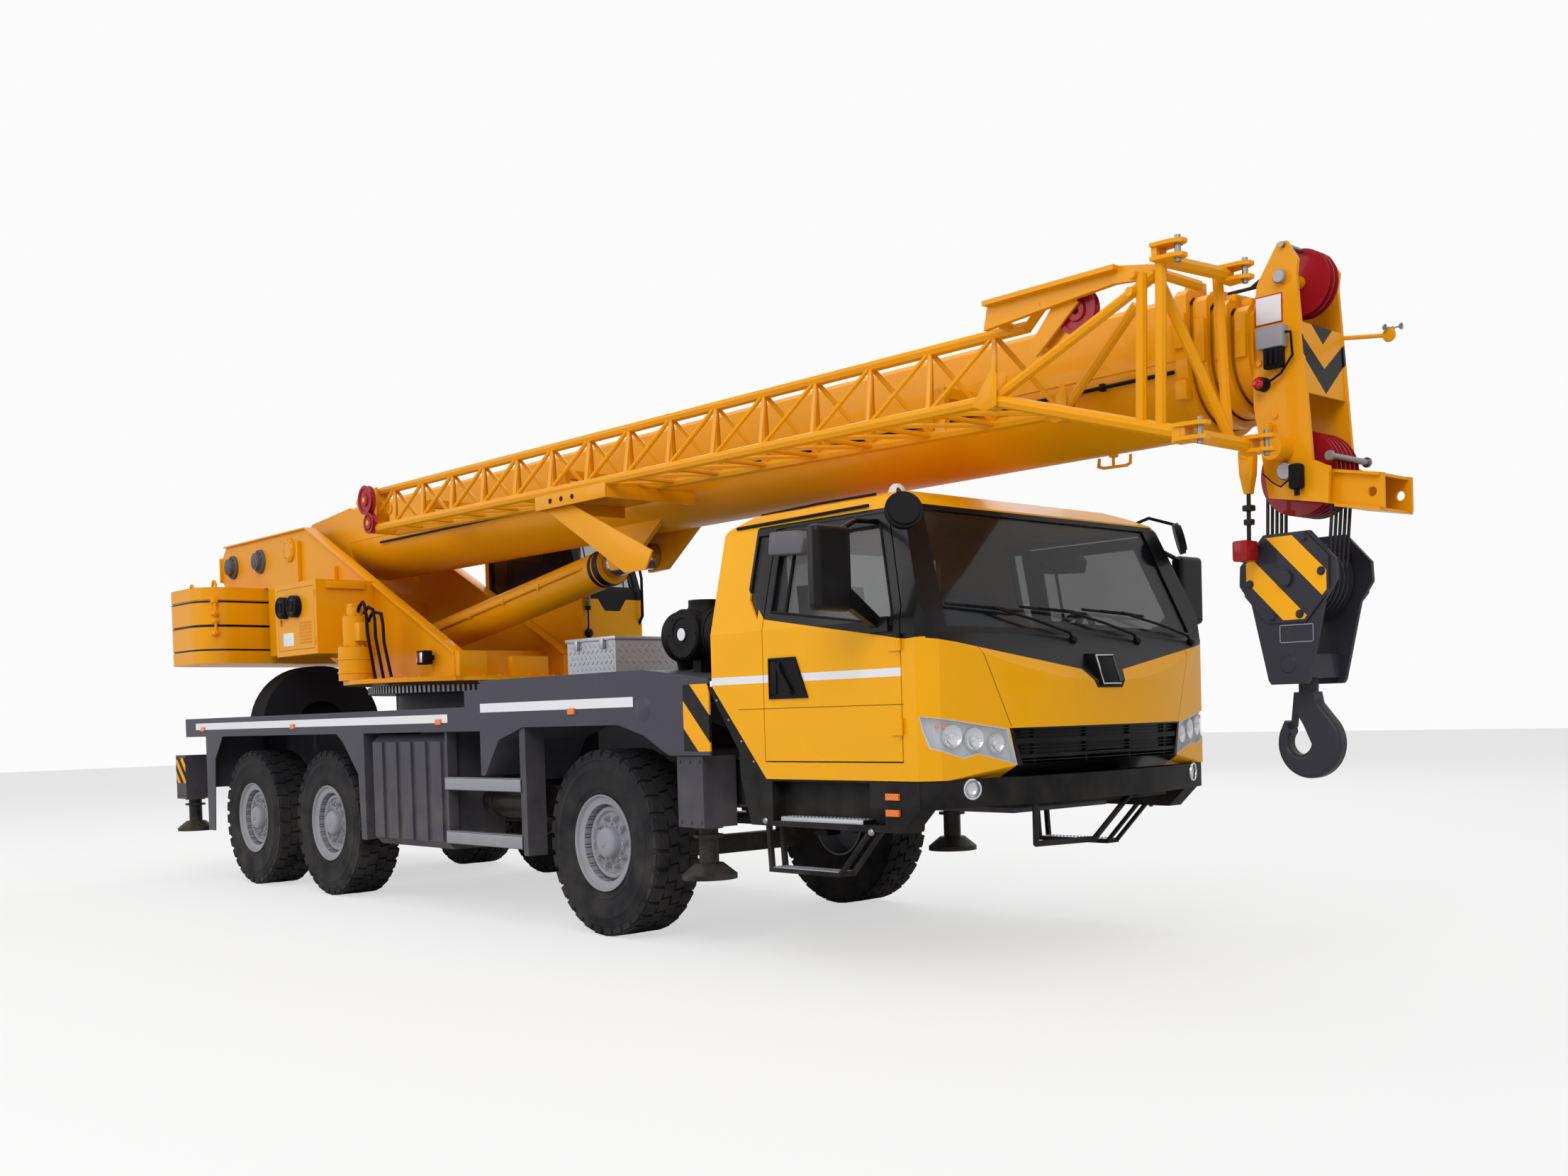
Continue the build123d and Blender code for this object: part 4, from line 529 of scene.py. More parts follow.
    def finish(self, name, body, key, slotName=None, smooth=35.0):
        mesh = bpy.data.meshes.new(name)
        self.bm.to_mesh(mesh)
        self.bm.free()
        mesh.materials.clear()
        mesh.materials.append(look[key])
        mesh.shade_smooth()
        mesh.set_sharp_from_angle(angle=math.radians(smooth))
        piece = bpy.data.objects.new(name, mesh)
        scene.collection.objects.link(piece)
        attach(piece, body)
        slotName = slotName or slotNames[key]
        return piece


def turned(a, b, c, axis):
    return {"x": Vector((c, a, b)), "y": Vector((a, c, b)), "z": Vector((a, b, c))}[axis]


# geometry node trees for what repeats
def newTree(name, inputs):
    tree = bpy.data.node_groups.new(name, "GeometryNodeTree")
    tree.interface.new_socket("Geometry", in_out="OUTPUT", socket_type="NodeSocketGeometry")
    for label, (kind, value) in inputs.items():
        made = tree.interface.new_socket(label, in_out="INPUT", socket_type="NodeSocket" + kind)
        if value is not None:
            made.default_value = value
    root = Wire(tree)
    return tree, root, root.node("NodeGroupInput")


def endTree(root, instances, start, move=None, lay=None):
    whole = root.node("GeometryNodeRealizeInstances", None, {0: instances})
    if move is not None:
        values = {"Geometry": whole, "Translation": move, "Rotation": lay}
        whole = root.node("GeometryNodeTransform", None, values)
    values = {"Geometry": whole, "Material": start.other("Material")}
    whole = root.node("GeometryNodeSetMaterial", None, values)
    root.node("NodeGroupOutput", None, {0: whole})


def brick(root, start, kind):
    if kind == "cube":
        return root.node("GeometryNodeMeshCube", None, {"Size": start.other("Size")})
    size = root.node("ShaderNodeSeparateXYZ", None, {0: start.other("Size")})
    values = {"Vertices": start.other("Sides"), "Radius": size, "Depth": size.other(2)}
    return root.node("GeometryNodeMeshCylinder", None, values)


def makeRingTree(kind):
    tree, root, start = newTree(kind + "Ring", {
        "Count": ("Int", 8), "Phase": ("Float", 0.0), "Radius": ("Float", 0.5), "Offset": ("Float", 0.0),
        "Size": ("Vector", (0.1, 0.1, 0.1)), "Sides": ("Int", 6), "Turn": ("Vector", (0.0, 0.0, 0.0)),
        "Centre": ("Vector", (0.0, 0.0, 0.0)), "Lay": ("Vector", (0.0, 0.0, 0.0)),
        "Material": ("Material", None)})
    reach = root.node("ShaderNodeCombineXYZ", None, {1: start.other("Offset"), 2: start.other("Radius")})
    values = {"Geometry": brick(root, start, kind), "Translation": reach, "Rotation": start.other("Turn")}
    item = root.node("GeometryNodeTransform", None, values)
    points = root.node("GeometryNodePoints", None, {"Count": start.other("Count")})
    place = root.node("GeometryNodeInputIndex") + start.other("Phase")
    angle = place * (2 * math.pi) / start.other("Count")
    spin = root.node("ShaderNodeCombineXYZ", None, {1: angle})
    instances = root.node("GeometryNodeInstanceOnPoints", None,
                          {"Points": points, "Instance": item, "Rotation": spin})
    endTree(root, instances, start, start.other("Centre"), start.other("Lay"))
    return tree


def makeRowTree(kind):
    tree, root, start = newTree(kind + "Row", {
        "Count": ("Int", 4), "Start": ("Vector", (0.0, 0.0, 0.0)), "Step": ("Vector", (0.1, 0.0, 0.0)),
        "Size": ("Vector", (0.05, 0.05, 0.05)), "Sides": ("Int", 6), "Turn": ("Vector", (0.0, 0.0, 0.0)),
        "Material": ("Material", None)})
    index = root.node("GeometryNodeInputIndex")
    along = root.node("ShaderNodeVectorMath", {"operation": "SCALE"},
                      {0: start.other("Step"), "Scale": index})
    spot = root.node("ShaderNodeVectorMath", {"operation": "ADD"}, {0: along, 1: start.other("Start")})
    points = root.node("GeometryNodePoints", None, {"Count": start.other("Count"), "Position": spot})
    values = {"Points": points, "Instance": brick(root, start, kind), "Rotation": start.other("Turn")}
    instances = root.node("GeometryNodeInstanceOnPoints", None, values)
    endTree(root, instances, start)
    return tree


trees = {"ring": {kind: makeRingTree(kind) for kind in ("cube", "rod")},
         "row": {kind: makeRowTree(kind) for kind in ("cube", "rod")}}


def grow(tree, values):
    holder = bpy.data.objects.new("holder", bpy.data.meshes.new("holder"))
    scene.collection.objects.link(holder)
    modifier = holder.modifiers.new("nodes", "NODES")
    modifier.node_group = tree
    sockets = {item.name: item.identifier for item in tree.interface.items_tree if item.in_out == "INPUT"}
    for label, value in values.items():
        modifier[sockets[label]] = value
    graph = bpy.context.evaluated_depsgraph_get()
    mesh = bpy.data.meshes.new_from_object(holder.evaluated_get(graph), depsgraph=graph)
    holder.modifiers.clear()
    bpy.data.objects.remove(holder)
    return mesh


# wheels
wheelLook = {"middle": 1.0575, "height": 0.630, "lugs": 32, "nuts": 10, "nutRing": 0.167, "studs": 12,
             "studRing": 0.126}
wheelSpots = {"front": 0.0, "mid": -4.190, "rear": -5.803}
tyreProfile = [(0.262, -0.145), (0.300, -0.158), (0.350, -0.176), (0.430, -0.190), (0.510, -0.188),
               (0.570, -0.178), (0.600, -0.168), (0.611, -0.150), (0.613, 0.0), (0.611, 0.150),
               (0.600, 0.168), (0.585, 0.174), (0.570, 0.178), (0.560, 0.184), (0.552, 0.180),
               (0.510, 0.188), (0.504, 0.1915), (0.498, 0.188), (0.430, 0.190), (0.380, 0.184),
               (0.376, 0.187), (0.370, 0.182), (0.345, 0.174), (0.328, 0.168), (0.322, 0.160),
               (0.262, 0.145)]
rimProfile = [(0.0, 0.180), (0.022, 0.180), (0.026, 0.176), (0.030, 0.172), (0.060, 0.171), (0.086, 0.166),
              (0.101, 0.154), (0.106, 0.140), (0.108, 0.104), (0.112, 0.099), (0.138, 0.097),
              (0.141, 0.090), (0.204, 0.088), (0.210, 0.094), (0.215, 0.106), (0.222, 0.110),
              (0.236, 0.110), (0.244, 0.104), (0.250, 0.084), (0.268, 0.070), (0.286, 0.070),
              (0.296, 0.086), (0.303, 0.130), (0.306, 0.160), (0.311, 0.172), (0.319, 0.180),
              (0.325, 0.181), (0.327, 0.175), (0.322, 0.165), (0.262, 0.146), (0.262, -0.148),
              (0.250, -0.150), (0.240, 0.020), (0.150, 0.060), (0.110, 0.060), (0.104, -0.150),
              (0.062, -0.150), (0.062, 0.135), (0.0, 0.135)]


def makeWheel(axle, side, sign):
    name = f"{axle}_{side}"
    centre = (wheelSpots[axle], sign * wheelLook["middle"], wheelLook["height"])
    count = wheelLook["lugs"]
    rubber = Shape().lathe(tyreProfile, centre, "y", sign, 96)
    inner, outer = (0.102, 0.076, 0.030), (0.094, 0.084, 0.034)
    lugRows = ((0.040, inner, 0.612, 0.0, 0.20), (-0.040, inner, 0.612, 0.5, 0.20),
               (0.126, outer, 0.6095, 0.25, -0.12), (-0.126, outer, 0.6095, 0.75, -0.12))
    for offset, size, radius, phase, twist in lugRows:
        rubber.ring("cube", centre, count, radius, offset, size, phase, (0.0, 0.0, twist), key="rubber")
    for end in (1, -1):
        rubber.ring("cube", centre, count, 0.588, end * 0.172, (0.080, 0.016, 0.052),
                    0.25 + (end < 0) * 0.5, (end * -0.16, 0.0, 0.0), key="rubber")
    tyre = rubber.finish(f"tyreDetail_{name}", f"wheel_{name}", "rubber")
    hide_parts(f"tyre_{name}")
    disc = Shape().lathe(rimProfile, centre, "y", sign, 72)
    nutParts = ((0.101, 0.017, 0.030, 6), (0.121, 0.010, 0.022, 10), (0.0905, 0.023, 0.008, 16))
    for offset, radius, depth, sides in nutParts:          # nut, stud end and washer
        disc.ring("rod", centre, wheelLook["nuts"], wheelLook["nutRing"], sign * offset,
                  (radius, 0.0, depth), 0.5, upright, sides, "silver")
    disc.ring("rod", centre, wheelLook["studs"], wheelLook["studRing"], sign * 0.100, (0.009, 0.0, 0.014),
              0.0, upright, key="silver")
    rim = disc.finish(f"rimDetail_{name}", f"wheel_{name}", "silver")
    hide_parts(f"rim_{name}")


for axle in wheelSpots:
    for side, sign in (("left", 1), ("right", -1)):
        makeWheel(axle, side, sign)
print("wheels done")


# driver's cab
cabLook = {
    "half": 1.290, "noseX": 3.330, "noseCurve": 7.4, "noseRadius": 3.7, "screenFoot": (3.120, 1.870),
    "bowls": ((0.86, 1.272, 0.052), (0.995, 1.300, 0.060), (1.125, 1.318, 0.060)),
    "fogLamp": (1.022, 1.032), "screenSlope": 0.3973, "wipers": (-0.10, 0.51, 1.07), "wiperReach": 0.62,
    "slats": (1.168, 1.224, 1.242, 1.308, 1.326),
    "stepPlates": (          # x, y and z from and to, and the bevel
        (1.905, 2.595, 1.192, 1.274, 0.8642, 0.8685, 0.001),
        (1.802, 2.380, 1.158, 1.272, 0.5662, 0.5700, 0.001),
        (1.905, 2.595, 1.266, 1.2765, 0.834, 0.8644, 0.002),
        (1.802, 2.380, 1.262, 1.2745, 0.542, 0.5664, 0.002)),
    "stepDots": ((1.930, 1.205, 0.028, 0.8695, 22), (1.826, 1.178, 0.036, 0.5710, 18)),
    "handle": [(1.862, 1.556), (2.180, 1.556), (2.085, 1.778), (1.862, 1.778)],
    "sideDots": (1.165, 1.205), "slatPosts": (-0.60, -0.20, 0.20, 0.60),
    "stepCaps": ((1.772, 0.838), (2.664, 0.803)), "fenderBolts": (0.10, 0.36, 0.64, 0.90),
    "pane": [(1.862, 2.052), (2.868, 1.921), (2.868, 1.992), (2.685, 2.478), (1.862, 2.478)],
    "visor": [(1.865, 2.382), (2.160, 2.366), (2.185, 2.450), (2.130, 2.500), (1.885, 2.512)],
    "roofLamp": (2.47, -0.82, 2.698)}


def noseX(y, z):
    slope = cabLook["noseX"] - max(0.0, z - 1.60) * 0.7778
    return min(slope, cabLook["noseX"] - y * y / cabLook["noseCurve"])


def screenSpot(y, z, lift):
    footX, footZ = cabLook["screenFoot"]
    return (footX - (z - footZ) * cabLook["screenSlope"] + lift * 0.929, y, z + lift * 0.369)


def noseTurn(y):
    return Matrix.Rotation(math.asin(y / cabLook["noseRadius"]), 3, "Z")


def makeLamps():
    bowls, bulbs, dots = Shape(), Shape(), Shape()
    dish = [(0.0, -0.010), (0.50, -0.008), (0.82, -0.001), (0.95, 0.006), (1.0, 0.006), (1.0, -0.013),
            (0.0, -0.013)]
    for sign in (-1, 1):
        for y, z, radius in cabLook["bowls"]:
            spot = (noseX(y, z) - 0.022, sign * y, z)
            bowls.lathe([(share * radius, offset) for share, offset in dish], spot, "x", 1.0, 32,
                        noseTurn(sign * y))
            bulbs.lathe([(0.0, 0.007), (0.010, 0.005), (0.015, -0.002), (0.015, -0.008), (0.0, -0.008)],
                        spot, "x", 1.0, 20, noseTurn(sign * y))
        for y in cabLook["sideDots"]:
            dots.lathe([(0.0, 0.006), (0.010, 0.004), (0.013, -0.006), (0.0, -0.006)],
                       (noseX(y, 1.37) - 0.026, sign * y, 1.372), "x", 1.0, 16, noseTurn(sign * y))
        y, z = cabLook["fogLamp"]
        spot = (noseX(y, z) - 0.010, sign * y, z)
        bowls.lathe([(0.0, -0.034), (0.024, -0.032), (0.040, -0.020), (0.044, -0.012), (0.0455, -0.012),
                     (0.0455, -0.040), (0.0, -0.040)], spot, "x", 1.0, 32, noseTurn(sign * y))
        bowls.lathe([(0.0455, 0.002), (0.049, 0.007), (0.056, 0.005), (0.059, -0.003), (0.0455, -0.003)],
                    spot, "x", 1.0, 40, noseTurn(sign * y))
    bowls.finish("lampBowls", "chassis", "reflector")
    bulbs.finish("lampBulbs", "chassis", "white")
    dots.finish("lampDots", "chassis", "amber")


def makeGrille():
    slats = Shape()
    ys = [-0.70 + 1.40 * k / 14 for k in range(15)]
    for z in cabLook["slats"]:
        outer = [(noseX(y, z) - 0.012, y) for y in ys]
        inner = [(x - 0.022, y) for x, y in reversed(outer)]
        slats.plate(outer + inner, z, z + 0.006, across="z")
    for y in cabLook["slatPosts"]:
        slats.block(noseX(y, 1.2) - 0.036, noseX(y, 1.2) - 0.020, y - 0.006, y + 0.006, 1.158, 1.342, 0.002)
    slats.finish("grilleSlats", "chassis", "plastic")
    badge = Shape().plate([(3.326, 1.570), (3.348, 1.574), (3.286, 1.756), (3.206, 1.760)], -0.086, 0.086,
                          0.006)
    badge.finish("badgePanel", "chassis", "plastic")
    face = [(3.346, -0.077, 1.584), (3.290, -0.077, 1.748), (3.290, 0.077, 1.748), (3.346, 0.077, 1.584)]
    rim = Shape().tube(face + face[:2], 0.0045, 8)
    rim.finish("badgeRim", "chassis", "chrome")


def makeWipers():
    arms = Shape()
    for pivot in cabLook["wipers"]:
        tip = pivot - cabLook["wiperReach"]
        arms.tube([(3.150, pivot, 1.842), screenSpot(pivot - 0.03, 1.872, 0.030),
                   screenSpot(pivot - 0.30, 1.935, 0.036), screenSpot(tip, 2.005, 0.026)], 0.0085, 8)
        arms.tube([screenSpot(tip - 0.36, 2.022, 0.010), screenSpot(tip + 0.22, 1.996, 0.010)], 0.008, 8)
        arms.tube([screenSpot(tip - 0.20, 2.015, 0.020), screenSpot(tip + 0.10, 2.002, 0.022)], 0.006, 8)
        arms.lathe([(0.0, 0.030), (0.016, 0.028), (0.022, 0.020), (0.022, -0.006), (0.0, -0.006)],
                   (3.138, pivot, 1.842), "x", 1.0, 20)
    arms.finish("wipers", "chassis", "plastic")


def makeDoorFittings(side, sign):
    skin = cabLook["half"]
    outline = cabLook["handle"]
    handle = Shape()
    handle.plate(outline, sign * (skin + 0.0005), sign * (skin + 0.005), 0.0)
    loop = [(x, sign * (skin + 0.005), z) for x, z in outline]
    handle.tube(loop + loop[:2], 0.008, 8)
    foot, grip = sign * (skin + 0.004), sign * (skin + 0.020)
    handle.tube([(1.950, foot, 1.752), (1.952, grip, 1.738), (1.975, grip, 1.690), (2.030, grip, 1.625),
                 (2.052, grip, 1.592), (2.056, foot, 1.578)], 0.013, 12)
    handle.block(1.872, 1.925, sign * (skin + 0.003), sign * (skin + 0.012), 1.575, 1.765, 0.003)
    handle.finish(f"doorHandle_{side}", f"door_{side}", "plastic")
    visor = Shape()
    visor.plate(cabLook["visor"],
                sign * 1.150, sign * 1.290, 0.012)
    visor.finish(f"windowVisor_{side}", f"door_{side}", "visor")
    rubber = Shape()
    pane = cabLook["pane"]
    points = [(x, sign * (sideY(z) + 0.001), z) for x, z in pane]
    rubber.tube(points + points[:2], 0.007, 8)
    rubber.tube([(1.985, sign * (sideY(z) - 0.006), z) for z in (2.040, 2.470)], 0.011, 8)
    rubber.finish(f"windowRubber_{side}", f"door_{side}", "plastic")


def sideY(z):
    return cabLook["half"] - max(0.0, z - 1.95) * 0.2295


def makeCabSteps():
    steps, caps = Shape(), Shape()
    for sign in (-1, 1):
        for x0, x1, y0, y1, z0, z1, bevel in cabLook["stepPlates"]:
            steps.block(x0, x1, sign * y0, sign * y1, z0, z1, bevel)
        for row in range(3):
            for x, y, apart, z, count in cabLook["stepDots"]:
                spot = (x, sign * (y + row * apart), z)
                steps.row("rod", spot, (0.030, 0.0, 0.0), count, (0.007, 0.0, 0.003), sides=8, key="plate")
        for x, z in cabLook["stepCaps"]:
            caps.lathe([(0.0, 0.014), (0.014, 0.012), (0.020, 0.004), (0.020, -0.004), (0.0, -0.004)],
                       (x, sign * 1.281, z), "y", sign, 20)
        for share in cabLook["fenderBolts"]:
            caps.lathe([(0.0, 0.006), (0.006, 0.005), (0.009, 0.0), (0.009, -0.003), (0.0, -0.003)],
                       (1.300 + share * 0.42, sign * 1.2805, 1.600 - share * 0.46), "y", sign, 12)
    steps.finish("stepTreads", "chassis", "plate")
    caps.finish("stepCaps", "chassis", "steel")


def makeRoofTrim():
    roof = Shape()
    roof.lathe([(0.0, 0.062), (0.022, 0.058), (0.040, 0.042), (0.050, 0.018), (0.054, 0.0), (0.054, -0.006),
                (0.0, -0.006)], cabLook["roofLamp"], "z", 1.0, 32)
    roof.finish("roofLamp", "chassis", "white")
    gutter = Shape()
    for sign in (-1, 1):
        gutter.tube([(1.40, sign * 1.128, 2.592), (2.55, sign * 1.128, 2.602)], 0.010, 8)
        gutter.tube([(1.46, sign * 0.98, 2.678), (1.98, sign * 0.98, 2.690), (2.46, sign * 0.98, 2.688)],
                    0.008, 8)
    gutter.finish("roofGutters", "chassis", "plastic")


makeLamps()
makeGrille()
makeWipers()
for side, sign in (("left", 1), ("right", -1)):
    makeDoorFittings(side, sign)
makeCabSteps()
makeRoofTrim()
print("cab done")


# chassis
chassisLook = {"half": 1.272, "coverSpot": (0.563, 1.516), "treads": (0.545, 0.955),
               "tankSpot": (0.93, 0.86), "teeth": 132, "ringRadius": 0.862, "ringZ": (1.732, 1.800),
               "slewX": -3.900,
               "straps": (-1.75, -1.28), "jacks": (("front", 1.010), ("rear", -7.570)),
               "jackRows": (0.80, 1.18)}


def makeSideTrim():
    half = chassisLook["half"]
    covers, treads, holes = Shape(), Shape(), Shape()
    x, z = chassisLook["coverSpot"]
    for sign in (-1, 1):
        covers.cap([(0.080, 0.016), (0.094, 0.010), (0.100, 0.0), (0.100, -0.006)],
                   (x, sign * (half - 0.014), z), "y", sign, 40)
        for low in chassisLook["treads"]:
            treads.block(-2.062, -0.972, sign * 1.2555, sign * 1.2665, low + 0.004, low + 0.091, 0.003)
            treads.block(-2.062, -0.972, sign * 1.172, sign * 1.262, low + 0.0952, low + 0.0985, 0.001)
            for row in range(2):
                holes.row("rod", (-2.030, sign * (1.195 + row * 0.040), low + 0.0990), (0.036, 0.0, 0.0),
                          29, (0.010, 0.0, 0.003), sides=8, key="plastic")
    covers.finish("fasciaCovers", "chassis", "grey")
    treads.finish("ladderTreads", "chassis", "silver")
    holes.finish("ladderHoles", "chassis", "plastic")


def makeAirTanks():
    tanks = Shape()
    profile = [(0.0, 0.0), (0.07, 0.008), (0.115, 0.035), (0.125, 0.08), (0.125, 0.78), (0.115, 0.825),
               (0.07, 0.852), (0.0, 0.86)]
    for sign in (-1, 1):
        y, z = sign * chassisLook["tankSpot"][0], chassisLook["tankSpot"][1]
        tanks.lathe(profile, (-1.93, y, z), "x", 1.0, 32)
        for x in chassisLook["straps"]:
            tanks.lathe([(0.1245, -0.015), (0.129, -0.015), (0.129, 0.015), (0.1245, 0.015)], (x, y, z),
                        "x", 1.0, 32)
            tanks.block(x - 0.03, x + 0.03, sign * 0.40, y, 0.975, 1.005, 0.004)
    tanks.finish("airTanks", "chassis", "blackPaint")


def makeSlewTeeth():
    teeth = Shape()
    low, high = chassisLook["ringZ"]
    centre = (chassisLook["slewX"], 0.0, 0.0)
    tooth = (0.020, high - low - 0.010, 0.030)
    teeth.ring("cube", centre, chassisLook["teeth"], chassisLook["ringRadius"], (low + high) / 2, tooth,
               lay=upright)
    teeth.finish("slewTeeth", "chassis", "steel")


def makeTailLamps():
    cases = Shape()
    for sign in (-1, 1):
        cases.block(-7.395, -7.315, sign * 0.80, sign * 1.18, 1.455, 1.568, 0.008)
    cases.finish("tailLampCases", "chassis", "plastic")
    red, amber = Shape(), Shape()
    for sign in (-1, 1):
        red.block(-7.402, -7.394, sign * 0.95, sign * 1.16, 1.475, 1.548, 0.003)
        amber.block(-7.402, -7.394, sign * 0.82, sign * 0.93, 1.475, 1.548, 0.003)
    red.finish("tailLamps", "chassis", "redLens")
    amber.finish("tailIndicators", "chassis", "amber")


def makeOutriggerTrim():
    for side, sign in (("left", 1), ("right", -1)):
        warning = Shape().block(-7.695, -7.445, sign * 1.2492, sign * 1.2530, 0.93, 1.19, 0.001)
        warning.finish(f"hazardPlate_{side}", f"outrigger_beam_rear_{side}", "hazard")
        for end, x in chassisLook["jacks"]:
            bolts = Shape()
            for z in chassisLook["jackRows"]:
                bolts.row("rod", (x - 0.10, sign * 1.252, z), (0.10, 0.0, 0.0), 3, (0.011, 0.0, 0.008),
                          upright, key="grey")
            bolts.lathe([(0.066, -0.012), (0.092, -0.012), (0.098, 0.0), (0.066, 0.0)],
                        (x, sign * 1.118, 0.770), "z", 1.0, 32)
            bolts.finish(f"jackBolts_{end}_{side}", f"outrigger_beam_{end}_{side}", "grey")


toolBoxLook = {"lid": (-1.415, -0.745, -0.572, 0.252, 2.046, 2.074), "hasps": (-1.25, -0.91), "pitch": 0.060,
               "shift": 0.03, "tilt": 0.7, "low": 1.800, "sideStep": 0.042, "sideRows": 6, "topRows": 13}


def makeToolBox():
    # raised bars on the sides and the lid, turned one way and the other in alternate rows
    box = Shape().block(*toolBoxLook["lid"], 0.005)
    pitch, step = toolBoxLook["pitch"], toolBoxLook["sideStep"]
    for row in range(toolBoxLook["sideRows"]):
        turn = toolBoxLook["tilt"] if row % 2 else -toolBoxLook["tilt"]
        shift, z = (row % 2) * toolBoxLook["shift"], toolBoxLook["low"] + row * step
        box.row("cube", (-1.365 + shift, -0.5615, z), (pitch, 0.0, 0.0), 10, (0.030, 0.004, 0.009),
                (0.0, turn, 0.0), key="plate")
        box.row("cube", (-0.7585, -0.520 + shift, z), (0.0, pitch, 0.0), 12, (0.004, 0.030, 0.009),
                (turn, 0.0, 0.0), key="plate")
    for row in range(toolBoxLook["topRows"]):
        turn = toolBoxLook["tilt"] if row % 2 else -toolBoxLook["tilt"]
        spot = (-1.385 + (row % 2) * toolBoxLook["shift"], -0.535 + row * pitch, 2.0750)
        box.row("cube", spot, (pitch, 0.0, 0.0), 10, (0.030, 0.009, 0.004), (0.0, 0.0, turn), key="plate")
    for x in toolBoxLook["hasps"]:
        box.block(x - 0.022, x + 0.022, -0.586, -0.560, 1.985, 2.058, 0.004)
    box.finish("toolBoxTread", "chassis", "plate")


cleanerLook = {"spot": (0.740, -0.880, 1.990), "bowl": (0.740, -0.880, 2.100), "straps": (0.56, 0.92),
               "pipe": 0.062, "washer": (1.085, -1.020, 1.712), "bolts": 8}


def makeCleaner():
    drum = Shape()
    spot = cleanerLook["spot"]
    lid = [(0.046, 0.200), (0.050, 0.194), (0.100, 0.190), (0.108, 0.198), (0.150, 0.198), (0.163, 0.186),
           (0.165, 0.150), (0.160, 0.146), (0.165, 0.142), (0.165, 0.0)]
    drum.cap(lid, spot, "y", -1.0, 48)
    bowl = [(0.0, 0.116), (0.050, 0.112), (0.100, 0.090), (0.124, 0.050), (0.128, 0.012), (0.118, 0.006),
            (0.118, -0.02), (0.0, -0.02)]
    drum.lathe(bowl, cleanerLook["bowl"], "z", 1.0, 40)
    strap = [(0.169, -0.012), (0.175, -0.012), (0.175, 0.012), (0.169, 0.012)]
    for x in cleanerLook["straps"]:
        drum.lathe(strap, (x, spot[1], spot[2]), "x", 1.0, 48)
    drum.tube([(0.500, -0.860, 1.990), (0.430, -0.850, 1.985), (0.385, -0.820, 1.940),
               (0.375, -0.780, 1.860), (0.375, -0.760, 1.772)], cleanerLook["pipe"], 16)
    drum.ring("rod", spot, cleanerLook["bolts"], 0.142, -0.199, (0.007, 0.0, 0.006), turn=upright,
              key="plastic")
    drum.finish("airCleanerTrim", "chassis", "plastic")
    pale = Shape()
    pale.cap([(0.040, 0.203), (0.040, 0.196)], spot, "y", -1.0, 32)
    tank = [(0.0, 0.150), (0.055, 0.148), (0.072, 0.130), (0.074, 0.0), (0.0, 0.0)]
    pale.lathe(tank, cleanerLook["washer"], "z", 1.0, 32)
    pale.finish("washerTank", "chassis", "white")


makeSideTrim()
makeAirTanks()
makeSlewTeeth()
makeTailLamps()
makeOutriggerTrim()
makeToolBox()
makeCleaner()
print("chassis done")


# upper works
upperLook = {"winches": (-7.760, -7.060), "winchZ": 3.180, "ropeCoreRadius": 0.166, "ropeRadius": 0.010,
             "drumHalf": 0.498, "horns": (-5.200, -4.960), "hornZ": 2.560, "boxFace": -1.110,
             "driveSpot": (-4.138, -0.956), "column": (-2.915, 0.640), "railY": 1.215, "eyeY": 0.98,
             "hornRings": (0.034, 0.046, 0.072), "hinges": (2.24, 2.66),
             "ribs": ((-5.30, 2.24, 2.98), (-6.10, 2.24, 3.30), (-4.70, 1.90, 2.72)),
             "driveBolts": ((0.132, 2.158, 12), (0.088, 2.428, 6)), "driveBands": (1.93, 2.05),
             "pipes": ((0.0, 0.22, 2.50), (0.05, 0.27, 2.46), (0.10, 0.32, 2.42)), "eyes": (-7.82, -7.22),
             "seamLugs": (2.27, 2.51, 2.755), "hingeLugs": (2.44, 2.56, 2.64, 2.76),
             "hingePins": (2.410, 2.610), "wiperRods": (0.72, 1.10),
             "edges": (((-5.94, 3.40), (-3.32, 2.16), 0.016), ((-3.32, 2.16), (-3.10, 2.05), 0.016),
                       ((-3.10, 2.05), (-3.10, 1.858), 0.016), ((-7.95, 3.40), (-5.94, 3.40), 0.014),
                       ((-8.058, 3.04), (-8.058, 3.30), 0.012))}


def makeWinches():
    caps, rope = Shape(), Shape()
    half = upperLook["drumHalf"]
    turns = round(half / upperLook["ropeRadius"]) - 1
    lay = [(0.145, -half)]          # the rope on the drum as one profile, four points a turn
    for k in range(turns * 4 + 1):
        bulge = 0.006 * math.cos(2 * math.pi * k / 4)
        lay.append((upperLook["ropeCoreRadius"] - bulge, 0.008 - half + k * upperLook["ropeRadius"] / 2))
    lay.append((0.145, half))
    boss = [(0.0, 0.088), (0.040, 0.086), (0.060, 0.078), (0.070, 0.070), (0.074, 0.030), (0.118, 0.028),
            (0.122, 0.022), (0.122, 0.0005), (0.0, 0.0005)]
    for x in upperLook["winches"]:
        centre = (x, 0.0, upperLook["winchZ"])
        rope.lathe(lay, centre, "y", 1.0, 36)
        for sign in (-1, 1):
            spot = (x, sign * 0.560, upperLook["winchZ"])
            caps.lathe(boss, spot, "y", sign, 40)
            caps.ring("rod", (x, 0.0, upperLook["winchZ"]), 10, 0.098, sign * 0.592, (0.010, 0.0, 0.014),
                      turn=upright, key="cast")
    caps.finish("winchCaps", "superstructure", "cast")
    rope.finish("drumRope", "superstructure", "rope")


